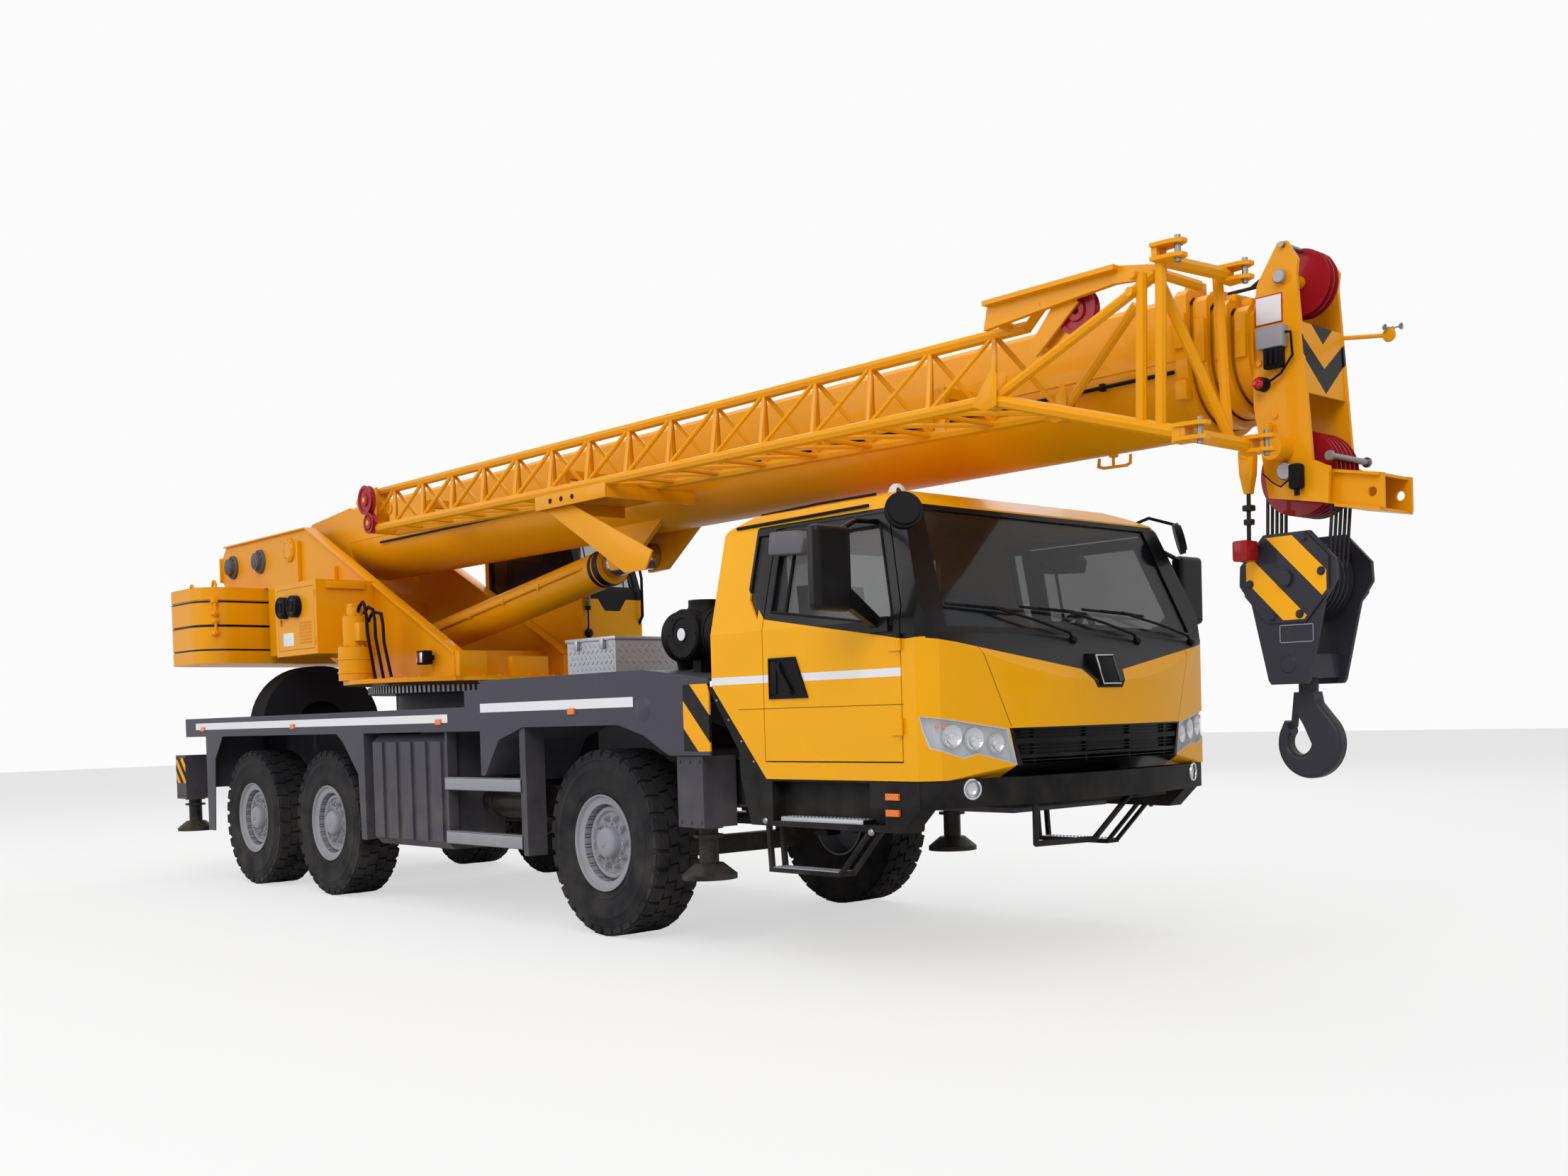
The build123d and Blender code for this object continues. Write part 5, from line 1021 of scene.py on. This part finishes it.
def makeHorns():
    horns = Shape()
    for x in upperLook["horns"]:
        horns.cap([(0.020, 0.066), (0.024, 0.060), (0.060, 0.052), (0.064, 0.058), (0.082, 0.064),
                   (0.094, 0.064), (0.100, 0.056), (0.100, 0.0)],
                  (x, upperLook["boxFace"], upperLook["hornZ"]), "y", -1.0, 40)
        for radius in upperLook["hornRings"]:
            horns.lathe([(radius, 0.050), (radius + 0.005, 0.050), (radius + 0.005, 0.066), (radius, 0.066)],
                        (x, upperLook["boxFace"], upperLook["hornZ"]), "y", -1.0, 40)
    horns.finish("sideBoxHorns", "superstructure", "plastic")


def makeSideBoxTrim():
    vents = Shape()
    vents.row("cube", (-5.436, -0.84, 2.260), (0.0, 0.0, 0.036), 9, (0.014, 0.34, 0.012), (0.0, 0.6, 0.0),
              key="orange")
    vents.row("cube", (-4.80, -1.1135, 2.230), (0.0, 0.0, 0.030), 7, (0.24, 0.010, 0.010), (0.6, 0.0, 0.0),
              key="orange")
    for z in upperLook["hinges"]:
        vents.tube([(-4.598, -1.112, z - 0.03), (-4.598, -1.112, z + 0.03)], 0.009, 8)          # hinges
    vents.block(-5.330, -5.300, -1.126, -1.108, 2.40, 2.46, 0.004)
    vents.block(-4.58, -4.53, -1.02, -0.66, 2.70, 2.76, 0.004)
    vents.finish("sideBoxVents", "superstructure", "orange", "boom_yellow")
    label = Shape().block(-5.27, -5.05, -1.1135, -1.1095, 2.21, 2.33, 0.001)
    label.finish("blankPlate", "superstructure", "white")


def slopePlate(shape, start, end, thick, y0, y1):
    (x0, z0), (x1, z1) = start, end
    length = math.hypot(x1 - x0, z1 - z0)
    upX, upZ = -(z1 - z0) / length * thick, (x1 - x0) / length * thick
    return shape.plate([start, end, (x1 + upX, z1 + upZ), (x0 + upX, z0 + upZ)], y0, y1, 0.002)


def makeFlanges():
    flanges = Shape()
    for sign in (-1, 1):
        for start, end, thick in upperLook["edges"]:
            slopePlate(flanges, start, end, thick, sign * 0.482, sign * 0.592)
        flanges.cap([(0.080, 0.030), (0.090, 0.022), (0.115, 0.020), (0.120, 0.0)],
                    (-6.340, sign * 0.560, 3.230), "y", sign, 40)
        flanges.ring("rod", (-6.340, 0.0, 3.230), 8, 0.100, sign * 0.584, (0.009, 0.0, 0.012), turn=upright,
                     key="orange")
    for x, z0, z1 in upperLook["ribs"]:
        flanges.block(x - 0.012, x + 0.012, -0.600, -0.558, z0, z1, 0.003)
    flanges.block(-3.06, -2.985, -0.60, -0.34, 1.8585, 2.070, 0.006)
    flanges.block(-3.06, -2.985, -0.10, 0.26, 1.8585, 2.030, 0.006)
    flanges.ring("rod", (chassisLook["slewX"], 0.0, 0.0), 48, 1.020, 1.8625, (0.013, 0.0, 0.014),
                 turn=upright, lay=upright, key="orange")
    flanges.finish("sidePlateFlanges", "superstructure", "orange", "boom_yellow")


def makeDrive():
    x, y = upperLook["driveSpot"]
    body = Shape()
    for radius, z, count in upperLook["driveBolts"]:
        body.ring("rod", (x, y, 0.0), count, radius, z, (0.010, 0.0, 0.018), turn=upright, lay=upright,
                  key="orange")
    for z in upperLook["driveBands"]:
        band = [(0.149, -0.010), (0.158, -0.008), (0.158, 0.008), (0.149, 0.010)]
        body.lathe(band, (x, y, z), "z", 1.0, 36)
    body.block(x - 0.05, x + 0.05, y - 0.05, y + 0.05, 2.498, 2.530, 0.006)
    body.block(x + 0.10, x + 0.20, y - 0.06, y + 0.08, 2.20, 2.36, 0.008)
    body.finish("slewDrive", "superstructure", "orange", "boom_yellow")
    pipes = Shape()
    for shift, reach, top in upperLook["pipes"]:
        route = [(0.055, top - 0.05), (0.09, top), (0.16, top + 0.035), (reach - 0.03, top + 0.01),
                 (reach, top - 0.08), (reach + 0.01, top - 0.24)]
        foot = (x + reach + 0.01, y + 0.06 + shift, 1.862)
        pipes.tube([(x + out, y + shift, z) for out, z in route] + [foot], 0.014, 10)
    pipes.finish("drivePipes", "superstructure", "plastic")


def makeWorkLamp():
    case = Shape()
    case.block(-3.565, -3.435, -0.690, -0.600, 1.975, 2.095, 0.010)
    case.block(-3.515, -3.485, -0.605, -0.559, 2.015, 2.055, 0.004)
    case.finish("workLampCase", "superstructure", "plastic")
    lens = Shape().block(-3.550, -3.450, -0.696, -0.688, 1.990, 2.080, 0.006)
    lens.finish("workLampLens", "superstructure", "reflector")


def makeWeightTrim():
    eyes = Shape()
    for sign in (-1, 1):
        for x in upperLook["eyes"]:          # lifting eyes on top
            y = sign * upperLook["eyeY"]
            arc = [(x + 0.045 * math.cos(a), y, 2.905 + 0.075 * math.sin(a))
                   for a in (math.pi * k / 10 for k in range(11))]
            feet = [(x + 0.045, y, 2.890), (arc[-1][0], y, 2.890)]
            eyes.tube(feet[:1] + arc + feet[1:], 0.013, 10)
        for z in upperLook["seamLugs"]:
            eyes.block(-8.058, -8.030, sign * 0.60, sign * 0.72, z - 0.035, z + 0.035, 0.004)
        for z in upperLook["hingeLugs"]:
            eyes.block(-7.060, -6.970, sign * 1.040, sign * 1.090, z - 0.022, z + 0.022, 0.006)
        for low in upperLook["hingePins"]:
            eyes.tube([(-6.988, sign * 1.065, low), (-6.988, sign * 1.065, low + 0.180)], 0.013, 12)
    eyes.tube([(-7.95, -0.90, 2.890), (-7.95, -0.90, 2.955), (-7.95, -0.30, 2.955), (-7.95, -0.30, 2.890)],
              0.010, 8)
    eyes.finish("weightEyes", "superstructure", "orange", "boom_yellow")


def makeOperatorRails():
    rail = Shape()
    grab = ((-3.110, 3.020), (-3.035, 3.035), (-2.955, 2.940), (-2.900, 2.740), (-2.900, 2.400),
            (-2.960, 2.330))
    rail.tube([(x, upperLook["railY"], z) for x, z in grab], 0.013, 10)
    rail.tube([(-4.600, 1.10, 2.40), (-4.640, 1.10, 2.40), (-4.640, 1.10, 3.00), (-4.600, 1.10, 3.00)],
              0.012, 8)
    x, y = upperLook["column"]
    rail.tube([(-2.958, y, 2.250), (-2.920, y, 2.262), (x, y, 2.300), (x, y, 2.440)], 0.008, 8)
    horn = [(0.0, 0.030), (0.020, 0.028), (0.040, 0.010), (0.042, -0.004), (0.020, -0.030), (0.0, -0.032)]
    rail.lathe(horn, (x, y, 2.235), "x", 1.0, 24)
    rail.cap([(0.026, 0.034), (0.026, 0.0)], (x, y, 2.440), "z", 1.0, 24)
    for y in upperLook["wiperRods"]:
        rail.tube([(-3.02, y, 2.655), (-3.075, y + 0.02, 2.86), (-3.135, y + 0.03, 3.03)], 0.007, 8)
    rail.finish("operatorRails", "superstructure", "plastic")


def makeSignalLights():
    x, y = upperLook["column"]
    for name, z, key in (("columnGreen", 2.474, "greenLens"), ("columnRed", 2.526, "redLens")):
        light = Shape().cap([(0.022, 0.050), (0.025, 0.046), (0.025, 0.0)], (x, y, z), "z", 1.0, 24)
        light.finish(name, "superstructure", key)


def makeOperatorVents():
    vents = Shape()
    vents.block(-4.40, -3.35, 0.70, 1.15, 3.378, 3.392, 0.004)
    vents.row("cube", (-4.604, 0.92, 2.05), (0.0, 0.0, 0.040), 7, (0.012, 0.36, 0.016), (0.0, 0.6, 0.0),
              key="yellow")
    vents.finish("operatorVents", "superstructure", "yellow")
    knob = Shape()
    knob.tube([(-4.00, 1.284, 2.48), (-4.00, 1.296, 2.50), (-4.00, 1.296, 2.62), (-4.00, 1.284, 2.64)],
              0.009, 8)
    knob.finish("operatorDoorHandle", "operator_door", "plastic")


makeWinches()
makeHorns()
makeSideBoxTrim()
makeFlanges()
makeDrive()
makeWorkLamp()
makeWeightTrim()
makeOperatorRails()
makeSignalLights()
makeOperatorVents()
print("upper works done")


# boom, jib and head
boomLook = {"half": 0.350, "seamZ": 3.232, "rear": -5.450, "front": 4.150, "step": 0.095, "drop": 0.040,
            "ropeZ": 3.612,
            "guides": (-4.6, -2.2, 0.4, 2.9), "bores": (-0.70, -0.56, -0.42),
            "clips": (0.0, 1.2, 2.4, 3.6), "jibPins": ((4.640, 2.700), (4.540, 3.545)),
            "jibBushes": ((4.36, 3.475), (4.345, 3.395)), "jibWashers": ((-3.30, 3.26), (-3.44, 3.30)),
            "clamps": (0.25, 0.5, 0.75), "glands": ((0.405, 0.335, 0.156), (0.470, 0.430, 0.154)),
            "ropes": (("boom", 0.0100, -6.20, 4.150), ("boom_second", 0.0097, -5.10, 4.245),
                      ("boom_third", 0.0094, -4.95, 4.340))}


def makeBoomWelds():
    welds = Shape()
    for sign in (-1, 1):
        welds.tube([(boomLook["rear"] + 0.02, sign * 0.3505, boomLook["seamZ"]),
                    (4.075, sign * 0.3505, boomLook["seamZ"])], 0.005, 6)
    for x in boomLook["guides"]:
        welds.block(x - 0.035, x + 0.035, -0.050, 0.050, 3.558, 3.598, 0.006)
        for y0, y1 in ((-0.040, -0.018), (0.018, 0.040)):
            welds.block(x - 0.030, x + 0.030, y0, y1, 3.590, 3.640, 0.004)
    for y in (-0.22, 0.22):
        welds.block(4.070, 4.150, y - 0.045, y + 0.045, 3.580, 3.640, 0.008)
    for sign in (-1, 1):
        welds.block(4.080, 4.148, sign * 0.372, sign * 0.392, 3.28, 3.46, 0.005)
        welds.block(4.080, 4.148, sign * 0.330, sign * 0.385, 3.02, 3.12, 0.005)
    welds.finish("boomTrim", "boom", "orange")


def makeJibRest():
    stand = Shape()
    for x0, x1, z0 in ((-0.90, -0.02, 3.040), (-0.90, -0.88, 2.960), (-0.04, -0.02, 2.960)):
        stand.block(x0, x1, -1.10, -0.352, z0, 3.062, 0.003)
    plates = (
        ([(-0.90, 2.960), (-0.02, 2.960), (-0.02, 3.060), (-0.90, 3.060)], -1.112, -1.100, 0.002),
        ([(-0.84, 2.965), (-0.50, 2.965), (0.42, 2.560), (0.34, 2.440), (0.10, 2.440)], -1.060, -1.044,
         0.004),
        ([(-0.84, 2.965), (-0.66, 2.965), (-0.40, 2.820), (-0.62, 2.740)], -0.900, -0.884, 0.004),
        ([(-0.84, 2.965), (-0.66, 2.965), (-0.20, 2.714), (-0.30, 2.655)], -1.046, -0.898, 0.0))
    for outline, y0, y1, bevel in plates:          # the rail's face and the struts below it
        stand.plate(outline, y0, y1, bevel)
    stand.finish("jibRest", "boom", "orange")


def makeBoomCable():
    bores = Shape()
    for x in boomLook["bores"]:
        bores.cap([(0.018, 0.004), (0.018, -0.001)], (x, -1.1121, 3.010), "y", -1.0, 20)
    for x in boomLook["clips"]:
        bores.block(x - 0.014, x + 0.014, -0.378, -0.346, 3.150, 3.190, 0.003)
    bores.tube([(-4.8, -0.364, 3.168), (-2.0, -0.364, 3.166), (1.0, -0.364, 3.166), (4.06, -0.364, 3.170)],
               0.011, 8)
    bores.finish("boomCable", "boom", "plastic")


def makeHookHanger():
    hanger = Shape()
    hanger.block(3.370, 3.410, -0.020, 0.020, 2.860, 2.885, 0.003)
    hanger.tube([(3.290, 0.0, 2.866), (3.284, 0.0, 2.820), (3.320, 0.0, 2.808), (3.480, 0.0, 2.804),
                 (3.505, 0.0, 2.815), (3.508, 0.0, 2.862)], 0.009, 8)
    hanger.tube([(3.388, 0.0, 2.866), (3.388, 0.0, 2.808)], 0.009, 8)
    hanger.finish("hookHanger", "boom", "orange")


def makeHoistRope():
    # each section carries its own length of the rope that runs over the boom, and they slide out with it
    z = boomLook["ropeZ"]
    for body, radius, start, end in boomLook["ropes"]:
        rope = Shape().tube([(start, 0.0, z), (end, 0.0, z)], radius, 10)
        rope.finish(f"hoistRope_{body}", body, "rope")
    rope = Shape().tube([(-4.80, 0.0, z), (4.30, 0.0, z), (4.47, 0.004, 3.700), (4.53, 0.004, 3.727)],
                        0.0091, 10)
    rope.finish("hoistRope_boom_fourth", "boom_fourth", "rope")


def makeRopeRoller():
    roller = Shape()
    roller.cap([(0.055, -0.10), (0.055, -0.085), (0.036, -0.080), (0.036, 0.080), (0.055, 0.085),
                (0.055, 0.10)], (-6.215, 0.0, 3.566), "y", 1.0, 32)
    for y in (-0.115, 0.115):
        roller.block(-6.26, -6.17, y - 0.010, y + 0.010, 3.400, 3.600, 0.004)
    roller.block(-6.26, -6.17, -0.31, 0.31, 3.400, 3.425, 0.004)
    roller.finish("ropeRoller", "boom", "steel")


def makeCollarBlocks():
    for body, number in (("boom_second", 1), ("boom_third", 2), ("boom_fourth", 3)):
        blocks = Shape()
        front = boomLook["front"] + number * boomLook["step"]
        half = boomLook["half"] - number * boomLook["drop"]
        top = 3.560 - number * boomLook["drop"]
        x0, x1 = front - 0.066, front - 0.004
        for y in (-0.16, 0.16):
            blocks.block(x0, x1, y - 0.040, y + 0.040, top + 0.018, top + 0.066, 0.006)
        for sign in (-1, 1):
            blocks.block(x0, x1, sign * (half + 0.018), sign * (half + 0.044), 3.20, 3.42, 0.006)
        blocks.finish(f"collarBlocks_{body}", body, "orange")


def makeCylinderTrim():
    start, end = Vector((-4.750, 0.0, 2.210)), Vector((-1.250, 0.0, 2.735))
    way = (end - start).normalized()
    gland = Shape()
    for near, far, radius in boomLook["glands"]:
        gland.tube([tuple(end - way * near), tuple(end - way * far)], radius, 40)
    gland.finish("cylinderGland", "luff_barrel", "blackPaint")
    pipe = Shape()
    side = Vector((0.0, -0.158, 0.02))
    points = [start + way * 0.55 + side * 0.9, start + way * 0.62 + side, end - way * 0.62 + side,
              end - way * 0.55 + side * 0.9]
    pipe.tube([tuple(point) for point in points], 0.013, 10)
    for share in boomLook["clamps"]:
        x, _, z = points[1] + (points[2] - points[1]) * share
        pipe.block(x - 0.02, x + 0.02, -0.176, -0.140, z - 0.022, z + 0.022, 0.003)
    pipe.finish("cylinderPipe", "luff_barrel", "orange")


def makeJibTrim():
    sheaves = Shape()
    wheel = [(0.020, -0.026), (0.050, -0.026), (0.054, -0.014), (0.78, -0.014), (0.80, -0.022),
             (1.0, -0.022), (1.0, -0.016), (0.90, -0.005), (0.90, 0.005), (1.0, 0.016), (1.0, 0.022),
             (0.80, 0.022), (0.78, 0.014), (0.054, 0.014), (0.050, 0.026), (0.020, 0.026)]
    for (x, y, z), radius in (((3.872, -0.900, 3.436), 0.118), ((-3.500, -1.118, 3.346), 0.122),
                              ((-3.445, -1.118, 3.150), 0.086)):
        scaled = [(r * radius if r > 0.1 else r, offset) for r, offset in wheel]
        sheaves.lathe(scaled, (x, y, z), "y", 1.0, 48)
    sheaves.finish("jibSheaves", "boom", "crimson")
    plates = Shape()
    for x, z in ((-3.500, 3.346), (-3.445, 3.150)):
        plates.tube([(x, -1.148, z), (x, -1.050, z)], 0.022, 16)
    plates.plate([(-3.490, 3.110), (-3.400, 3.110), (-3.400, 3.330), (-3.490, 3.330)], -1.092, -1.080, 0.004)
    for y in (-1.080, -0.520):
        gusset = [(3.33, 3.020), (3.43, 2.985), (3.50, 3.000), (3.51, 3.160), (3.47, 3.190)]
        for shift in (-0.040, 0.036):
            plates.plate(gusset, y + shift, y + shift + 0.006, 0.001)
    for x, z in boomLook["jibBushes"]:
        plates.cap([(0.022, 0.044), (0.024, 0.036), (0.024, 0.0)], (x, -1.080, z), "y", -1.0, 20)
    for x, z in boomLook["jibWashers"]:
        washer = [(0.030, 0.0), (0.044, 0.0), (0.044, 0.012), (0.030, 0.012)]
        plates.lathe(washer, (x, -1.010, z), "y", -1.0, 24)
    plates.finish("jibGussets", "boom", "orange")
    pins = Shape()
    for x, z in boomLook["jibPins"]:
        for y in (-1.080, -0.520):
            pins.tube([(x + 0.055, y, z - 0.060), (x + 0.055, y, z + 0.062)], 0.015, 12)
    pins.finish("jibPins", "boom", "steel")


makeBoomWelds()
makeJibRest()
makeBoomCable()
makeHookHanger()
makeHoistRope()
makeRopeRoller()
makeCollarBlocks()
makeCylinderTrim()
makeJibTrim()


headLook = {"half": 0.212, "placard": (4.455, 4.612, 3.345, 3.492), "box": (4.490, 4.640, 3.215, 3.325),
            "lamp": (4.500, 3.050), "cups": (4.935, 0.300, 3.330)}


def makePlacard():
    face = -headLook["half"]
    x0, x1, z0, z1 = headLook["placard"]
    border = Shape().block(x0, x1, face - 0.003, face - 0.0003, z0, z1, 0.0005)
    border.finish("placardBorder", "boom_fourth", "redLens")
    edge = 0.007
    sheet = Shape().block(x0 + edge, x1 - edge, face - 0.0045, face - 0.002, z0 + edge, z1 - edge, 0.0005)
    sheet.finish("placard", "boom_fourth", "white")


def makeHeadBox():
    face = -headLook["half"]
    x0, x1, z0, z1 = headLook["box"]
    box = Shape().block(x0, x1, face - 0.062, face - 0.0005, z0, z1, 0.008)
    box.finish("headBox", "boom_fourth", "silver")
    lampX, lampZ = headLook["lamp"]
    plugs = Shape()
    plugs.block(x0 + 0.035, x1 - 0.012, face - 0.052, face - 0.010, z0 - 0.100, z0 + 0.004, 0.006)
    for x in (x0 + 0.055, x0 + 0.085, x0 + 0.115):
        plugs.tube([(x, face - 0.056, z0 - 0.012), (x, face - 0.060, z0 - 0.085)], 0.008, 10)
    plugs.tube([(x1 - 0.005, face - 0.030, z0 + 0.07), (x1 + 0.030, face - 0.030, z0 + 0.065),
                (x1 + 0.038, face - 0.028, z0 - 0.05), (4.610, face - 0.028, 3.085),
                (4.560, face - 0.030, 3.060), (4.525, face - 0.034, 3.056)], 0.006, 8)
    plugs.cap([(0.024, 0.060), (0.034, 0.050), (0.036, 0.0)], (lampX, face, lampZ), "y", -1.0, 28)
    plugs.block(4.660, 4.725, face - 0.070, face - 0.008, 2.500, 2.625, 0.014)
    plugs.tube([(4.690, face - 0.035, 2.505), (4.692, face - 0.035, 2.470)], 0.014, 10)
    plugs.tube([(4.662, face - 0.040, 2.560), (4.610, face - 0.050, 2.520), (4.560, face - 0.040, 2.548),
                (4.500, face - 0.034, 2.600)], 0.004, 6)
    plugs.finish("headPlugs", "boom_fourth", "plastic")
    red = Shape().lathe([(0.0, 0.088), (0.016, 0.084), (0.026, 0.072), (0.029, 0.058), (0.0, 0.058)],
                        (lampX, face, lampZ), "y", -1.0, 28)
    red.finish("headLamp", "boom_fourth", "redLens")


def makeRopeGuards():
    guards = Shape()
    guards.tube([(4.622, -0.235, 3.722), (4.622, 0.235, 3.722)], 0.014, 12)
    guards.tube([(4.838, -0.180, 2.652), (4.838, 0.180, 2.652)], 0.016, 12)
    ends = (([(0.022, 0.010), (0.026, 0.004), (0.026, -0.010)], (4.838, 0.186, 2.652), 20),
            ([(0.030, 0.014), (0.036, 0.006), (0.036, 0.0)], (4.610, 0.232, 3.565), 24),
            ([(0.040, 0.014), (0.046, 0.006), (0.046, 0.0)], (4.620, 0.232, 2.600), 24))
    for sign in (-1, 1):
        for outline, (x, y, z), sides in ends:
            guards.cap(outline, (x, sign * y, z), "y", sign, sides)
    guards.finish("ropeGuards", "boom_fourth", "steel")


def makeHeadFittings():
    fittings = Shape()
    for sign in (-1, 1):
        slopePlate(fittings, (4.838, 2.600), (4.762, 2.640), 0.030, sign * 0.170, sign * 0.210)
    fittings.tube([(4.680, 0.212, 3.312), (4.700, 0.232, 3.312), (4.900, 0.288, 3.296)], 0.011, 10)
    fittings.lathe([(0.0, 0.016), (0.030, 0.014), (0.036, 0.0), (0.030, -0.014), (0.0, -0.016)],
                   (4.915, 0.292, 3.296), "y", 1.0, 24)
    fittings.block(4.520, 4.545, -0.250, -0.208, 2.800, 2.850, 0.004)
    fittings.tube([(4.475, -0.213, 3.16), (4.475, -0.225, 3.16)], 0.016, 12)
    fittings.tube([(4.560, -0.213, 2.885), (4.560, -0.222, 2.885)], 0.013, 12)
    fittings.finish("headFittings", "boom_fourth", "orange")


def makeWindCups():
    cups = Shape()
    x, y, z = headLook["cups"]
    for a in angles(3):
        reach = (x + 0.045 * math.cos(a), y + 0.045 * math.sin(a), z)
        cups.tube([(x, y, z), reach], 0.004, 6)
        cups.lathe([(0.0, -0.016), (0.012, -0.012), (0.018, 0.0), (0.015, 0.0), (0.009, -0.009),
                    (0.0, -0.012)], reach, "x", 1.0, 16)
    cups.tube([(4.930, 0.298, 3.296), (x, y, 3.334)], 0.008, 8)
    cups.finish("windCups", "boom_fourth", "silver")


blockLook = {
    "x": 4.590, "face": 0.202, "pinZ": 1.640,
    "bolts": ((4.460, 2.252), (4.694, 2.262), (4.789, 2.092), (4.667, 1.888), (4.512, 1.880), (4.385, 2.055))}


def makeBlockTrim():
    bolts = Shape()
    face = blockLook["face"]
    for sign in (-1, 1):
        for x, z in blockLook["bolts"]:
            bolts.cap([(0.013, 0.013), (0.017, 0.009), (0.017, 0.0)], (x, sign * face, z), "y", sign, 6)
            bolts.cap([(0.022, 0.004), (0.022, -0.002)], (x, sign * face, z), "y", sign, 20)
        pin = (blockLook["x"], sign * 0.190, blockLook["pinZ"])
        bolts.cap([(0.040, 0.006), (0.046, 0.0)], pin, "y", sign, 28)
    bolts.finish("blockBolts", "hook_block", "hookPaint")
    plates = Shape()
    for z0, z1 in ((1.838, 1.834), (1.752, 1.748)):
        plates.block(4.545, 4.735, -0.1925, -0.1902, z1, z0, 0.0)
    for x in (4.545, 4.731):
        plates.block(x, x + 0.004, -0.1925, -0.1902, 1.748, 1.838, 0.0)
    plates.finish("blankFrame", "hook_block", "steel")


def makeDeadEnd():
    socket = Shape()
    socket.plate([(4.405, 2.720), (4.495, 2.720), (4.488, 2.600), (4.466, 2.500), (4.434, 2.500),
                  (4.410, 2.600)], -0.325, -0.275, 0.006)
    socket.cap([(0.016, 0.030), (0.016, -0.030)], (4.450, -0.300, 2.690), "y", 1.0, 16)
    socket.finish("wedgeSocket", "boom_fourth", "orange")
    rope = Shape()
    rope.tube([(4.450, -0.300, 2.505), (4.447, -0.298, 2.385), (4.440, -0.290, 2.230)], 0.011, 10)
    rope.block(4.425, 4.475, -0.325, -0.275, 2.415, 2.445, 0.005)
    rope.block(4.428, 4.472, -0.320, -0.280, 2.345, 2.375, 0.005)
    rope.finish("deadEnd", "boom_fourth", "rope")
    weight = Shape().block(4.372, 4.462, -0.345, -0.235, 2.165, 2.270, 0.012)
    weight.finish("limitWeight", "boom_fourth", "crimson")


makePlacard()
makeHeadBox()
makeRopeGuards()
makeHeadFittings()
makeWindCups()
makeBlockTrim()
makeDeadEnd()
print("boom done")


# camera, light and floor
cameraLook = {"spot": (10.2344, -7.0398, 1.4507), "yaw": 2.3699, "pitch": -0.0243, "roll": -0.0274,
              "lens": 35.199, "shift": (-0.06303, 0.10355)}


def makeCamera():
    yaw, pitch, roll = cameraLook["yaw"], cameraLook["pitch"], cameraLook["roll"]
    ahead = Vector((math.cos(yaw) * math.cos(pitch), math.sin(yaw) * math.cos(pitch), math.sin(pitch)))
    right = Vector((math.sin(yaw), -math.cos(yaw), 0.0))
    up = right.cross(ahead)
    turnedRight = right * math.cos(roll) + up * math.sin(roll)
    turnedUp = up * math.cos(roll) - right * math.sin(roll)
    data = bpy.data.cameras.new("camera")
    data.sensor_width = 36.0
    data.lens = cameraLook["lens"]
    data.shift_x, data.shift_y = cameraLook["shift"]
    data.clip_start, data.clip_end = 0.1, 200.0
    camera = bpy.data.objects.new("camera", data)
    turn = Matrix((turnedRight, turnedUp, -ahead)).transposed().to_4x4()
    camera.matrix_world = Matrix.Translation(Vector(cameraLook["spot"])) @ turn
    scene.collection.objects.link(camera)
    scene.camera = camera


lampAim = (0.0, 0.0, 1.5)
lampLook = (
    ("keyLamp", (14.0, -14.0, 15.0), 12.0, 2150.0),
    ("sideLamp", (-10.0, -18.0, 9.0), 10.0, 900.0),
    ("backLamp", (-12.0, 14.0, 12.0), 12.0, 900.0),
    ("topLamp", (0.0, 0.0, 18.0), 14.0, 900.0))


def makeLight():
    for name, spot, width, power in lampLook:
        data = bpy.data.lights.new(name, "AREA")
        data.shape = "SQUARE"
        data.size = width
        data.energy = power
        lamp = bpy.data.objects.new(name, data)
        lamp.location = spot
        lamp.rotation_euler = (Vector(lampAim) - Vector(spot)).to_track_quat("-Z", "Y").to_euler()
        scene.collection.objects.link(lamp)
    world = bpy.data.worlds.new("studio")
    world.use_nodes = True
    world.node_tree.nodes.clear()
    root = Wire(world.node_tree)
    rays = root.node("ShaderNodeLightPath", output="Is Camera Ray")
    seen = (rays + rays.other("Is Glossy Ray") + rays.other("Is Transmission Ray")).clamped()
    strength = seen * 0.47 + 0.50      # the backdrop that is seen is brighter than what lights the crane
    shade = root.node("ShaderNodeBackground", None, {"Color": (1.0, 1.0, 1.0, 1.0), "Strength": strength})
    root.node("ShaderNodeOutputWorld", None, {"Surface": shade})
    scene.world = world


def makeFloor():
    material, root = newMaterial("paleFloor")
    rays = root.node("ShaderNodeLightPath", output="Is Camera Ray")
    shade = root.node("ShaderNodeBsdfPrincipled", None, {"Base Color": colours["floor"], "Roughness": 0.8})
    glow = root.node("ShaderNodeEmission", None, {"Color": (1.0, 1.0, 1.0, 1.0), "Strength": 1.0})
    both = root.node("ShaderNodeMixShader", None, {0: rays * 0.6, 1: shade, 2: glow})
    root.node("ShaderNodeOutputMaterial", None, {"Surface": both})
    bm = bmesh.new()
    bmesh.ops.create_grid(bm, x_segments=1, y_segments=1, size=60.0)
    mesh = bpy.data.meshes.new("floor")
    bm.to_mesh(mesh)
    bm.free()
    floor = bpy.data.objects.new("floor", mesh)
    mesh.materials.append(material)
    scene.collection.objects.link(floor)


makeCamera()
makeLight()
makeFloor()
scene.view_settings.view_transform = "Standard"
print("camera and light done")
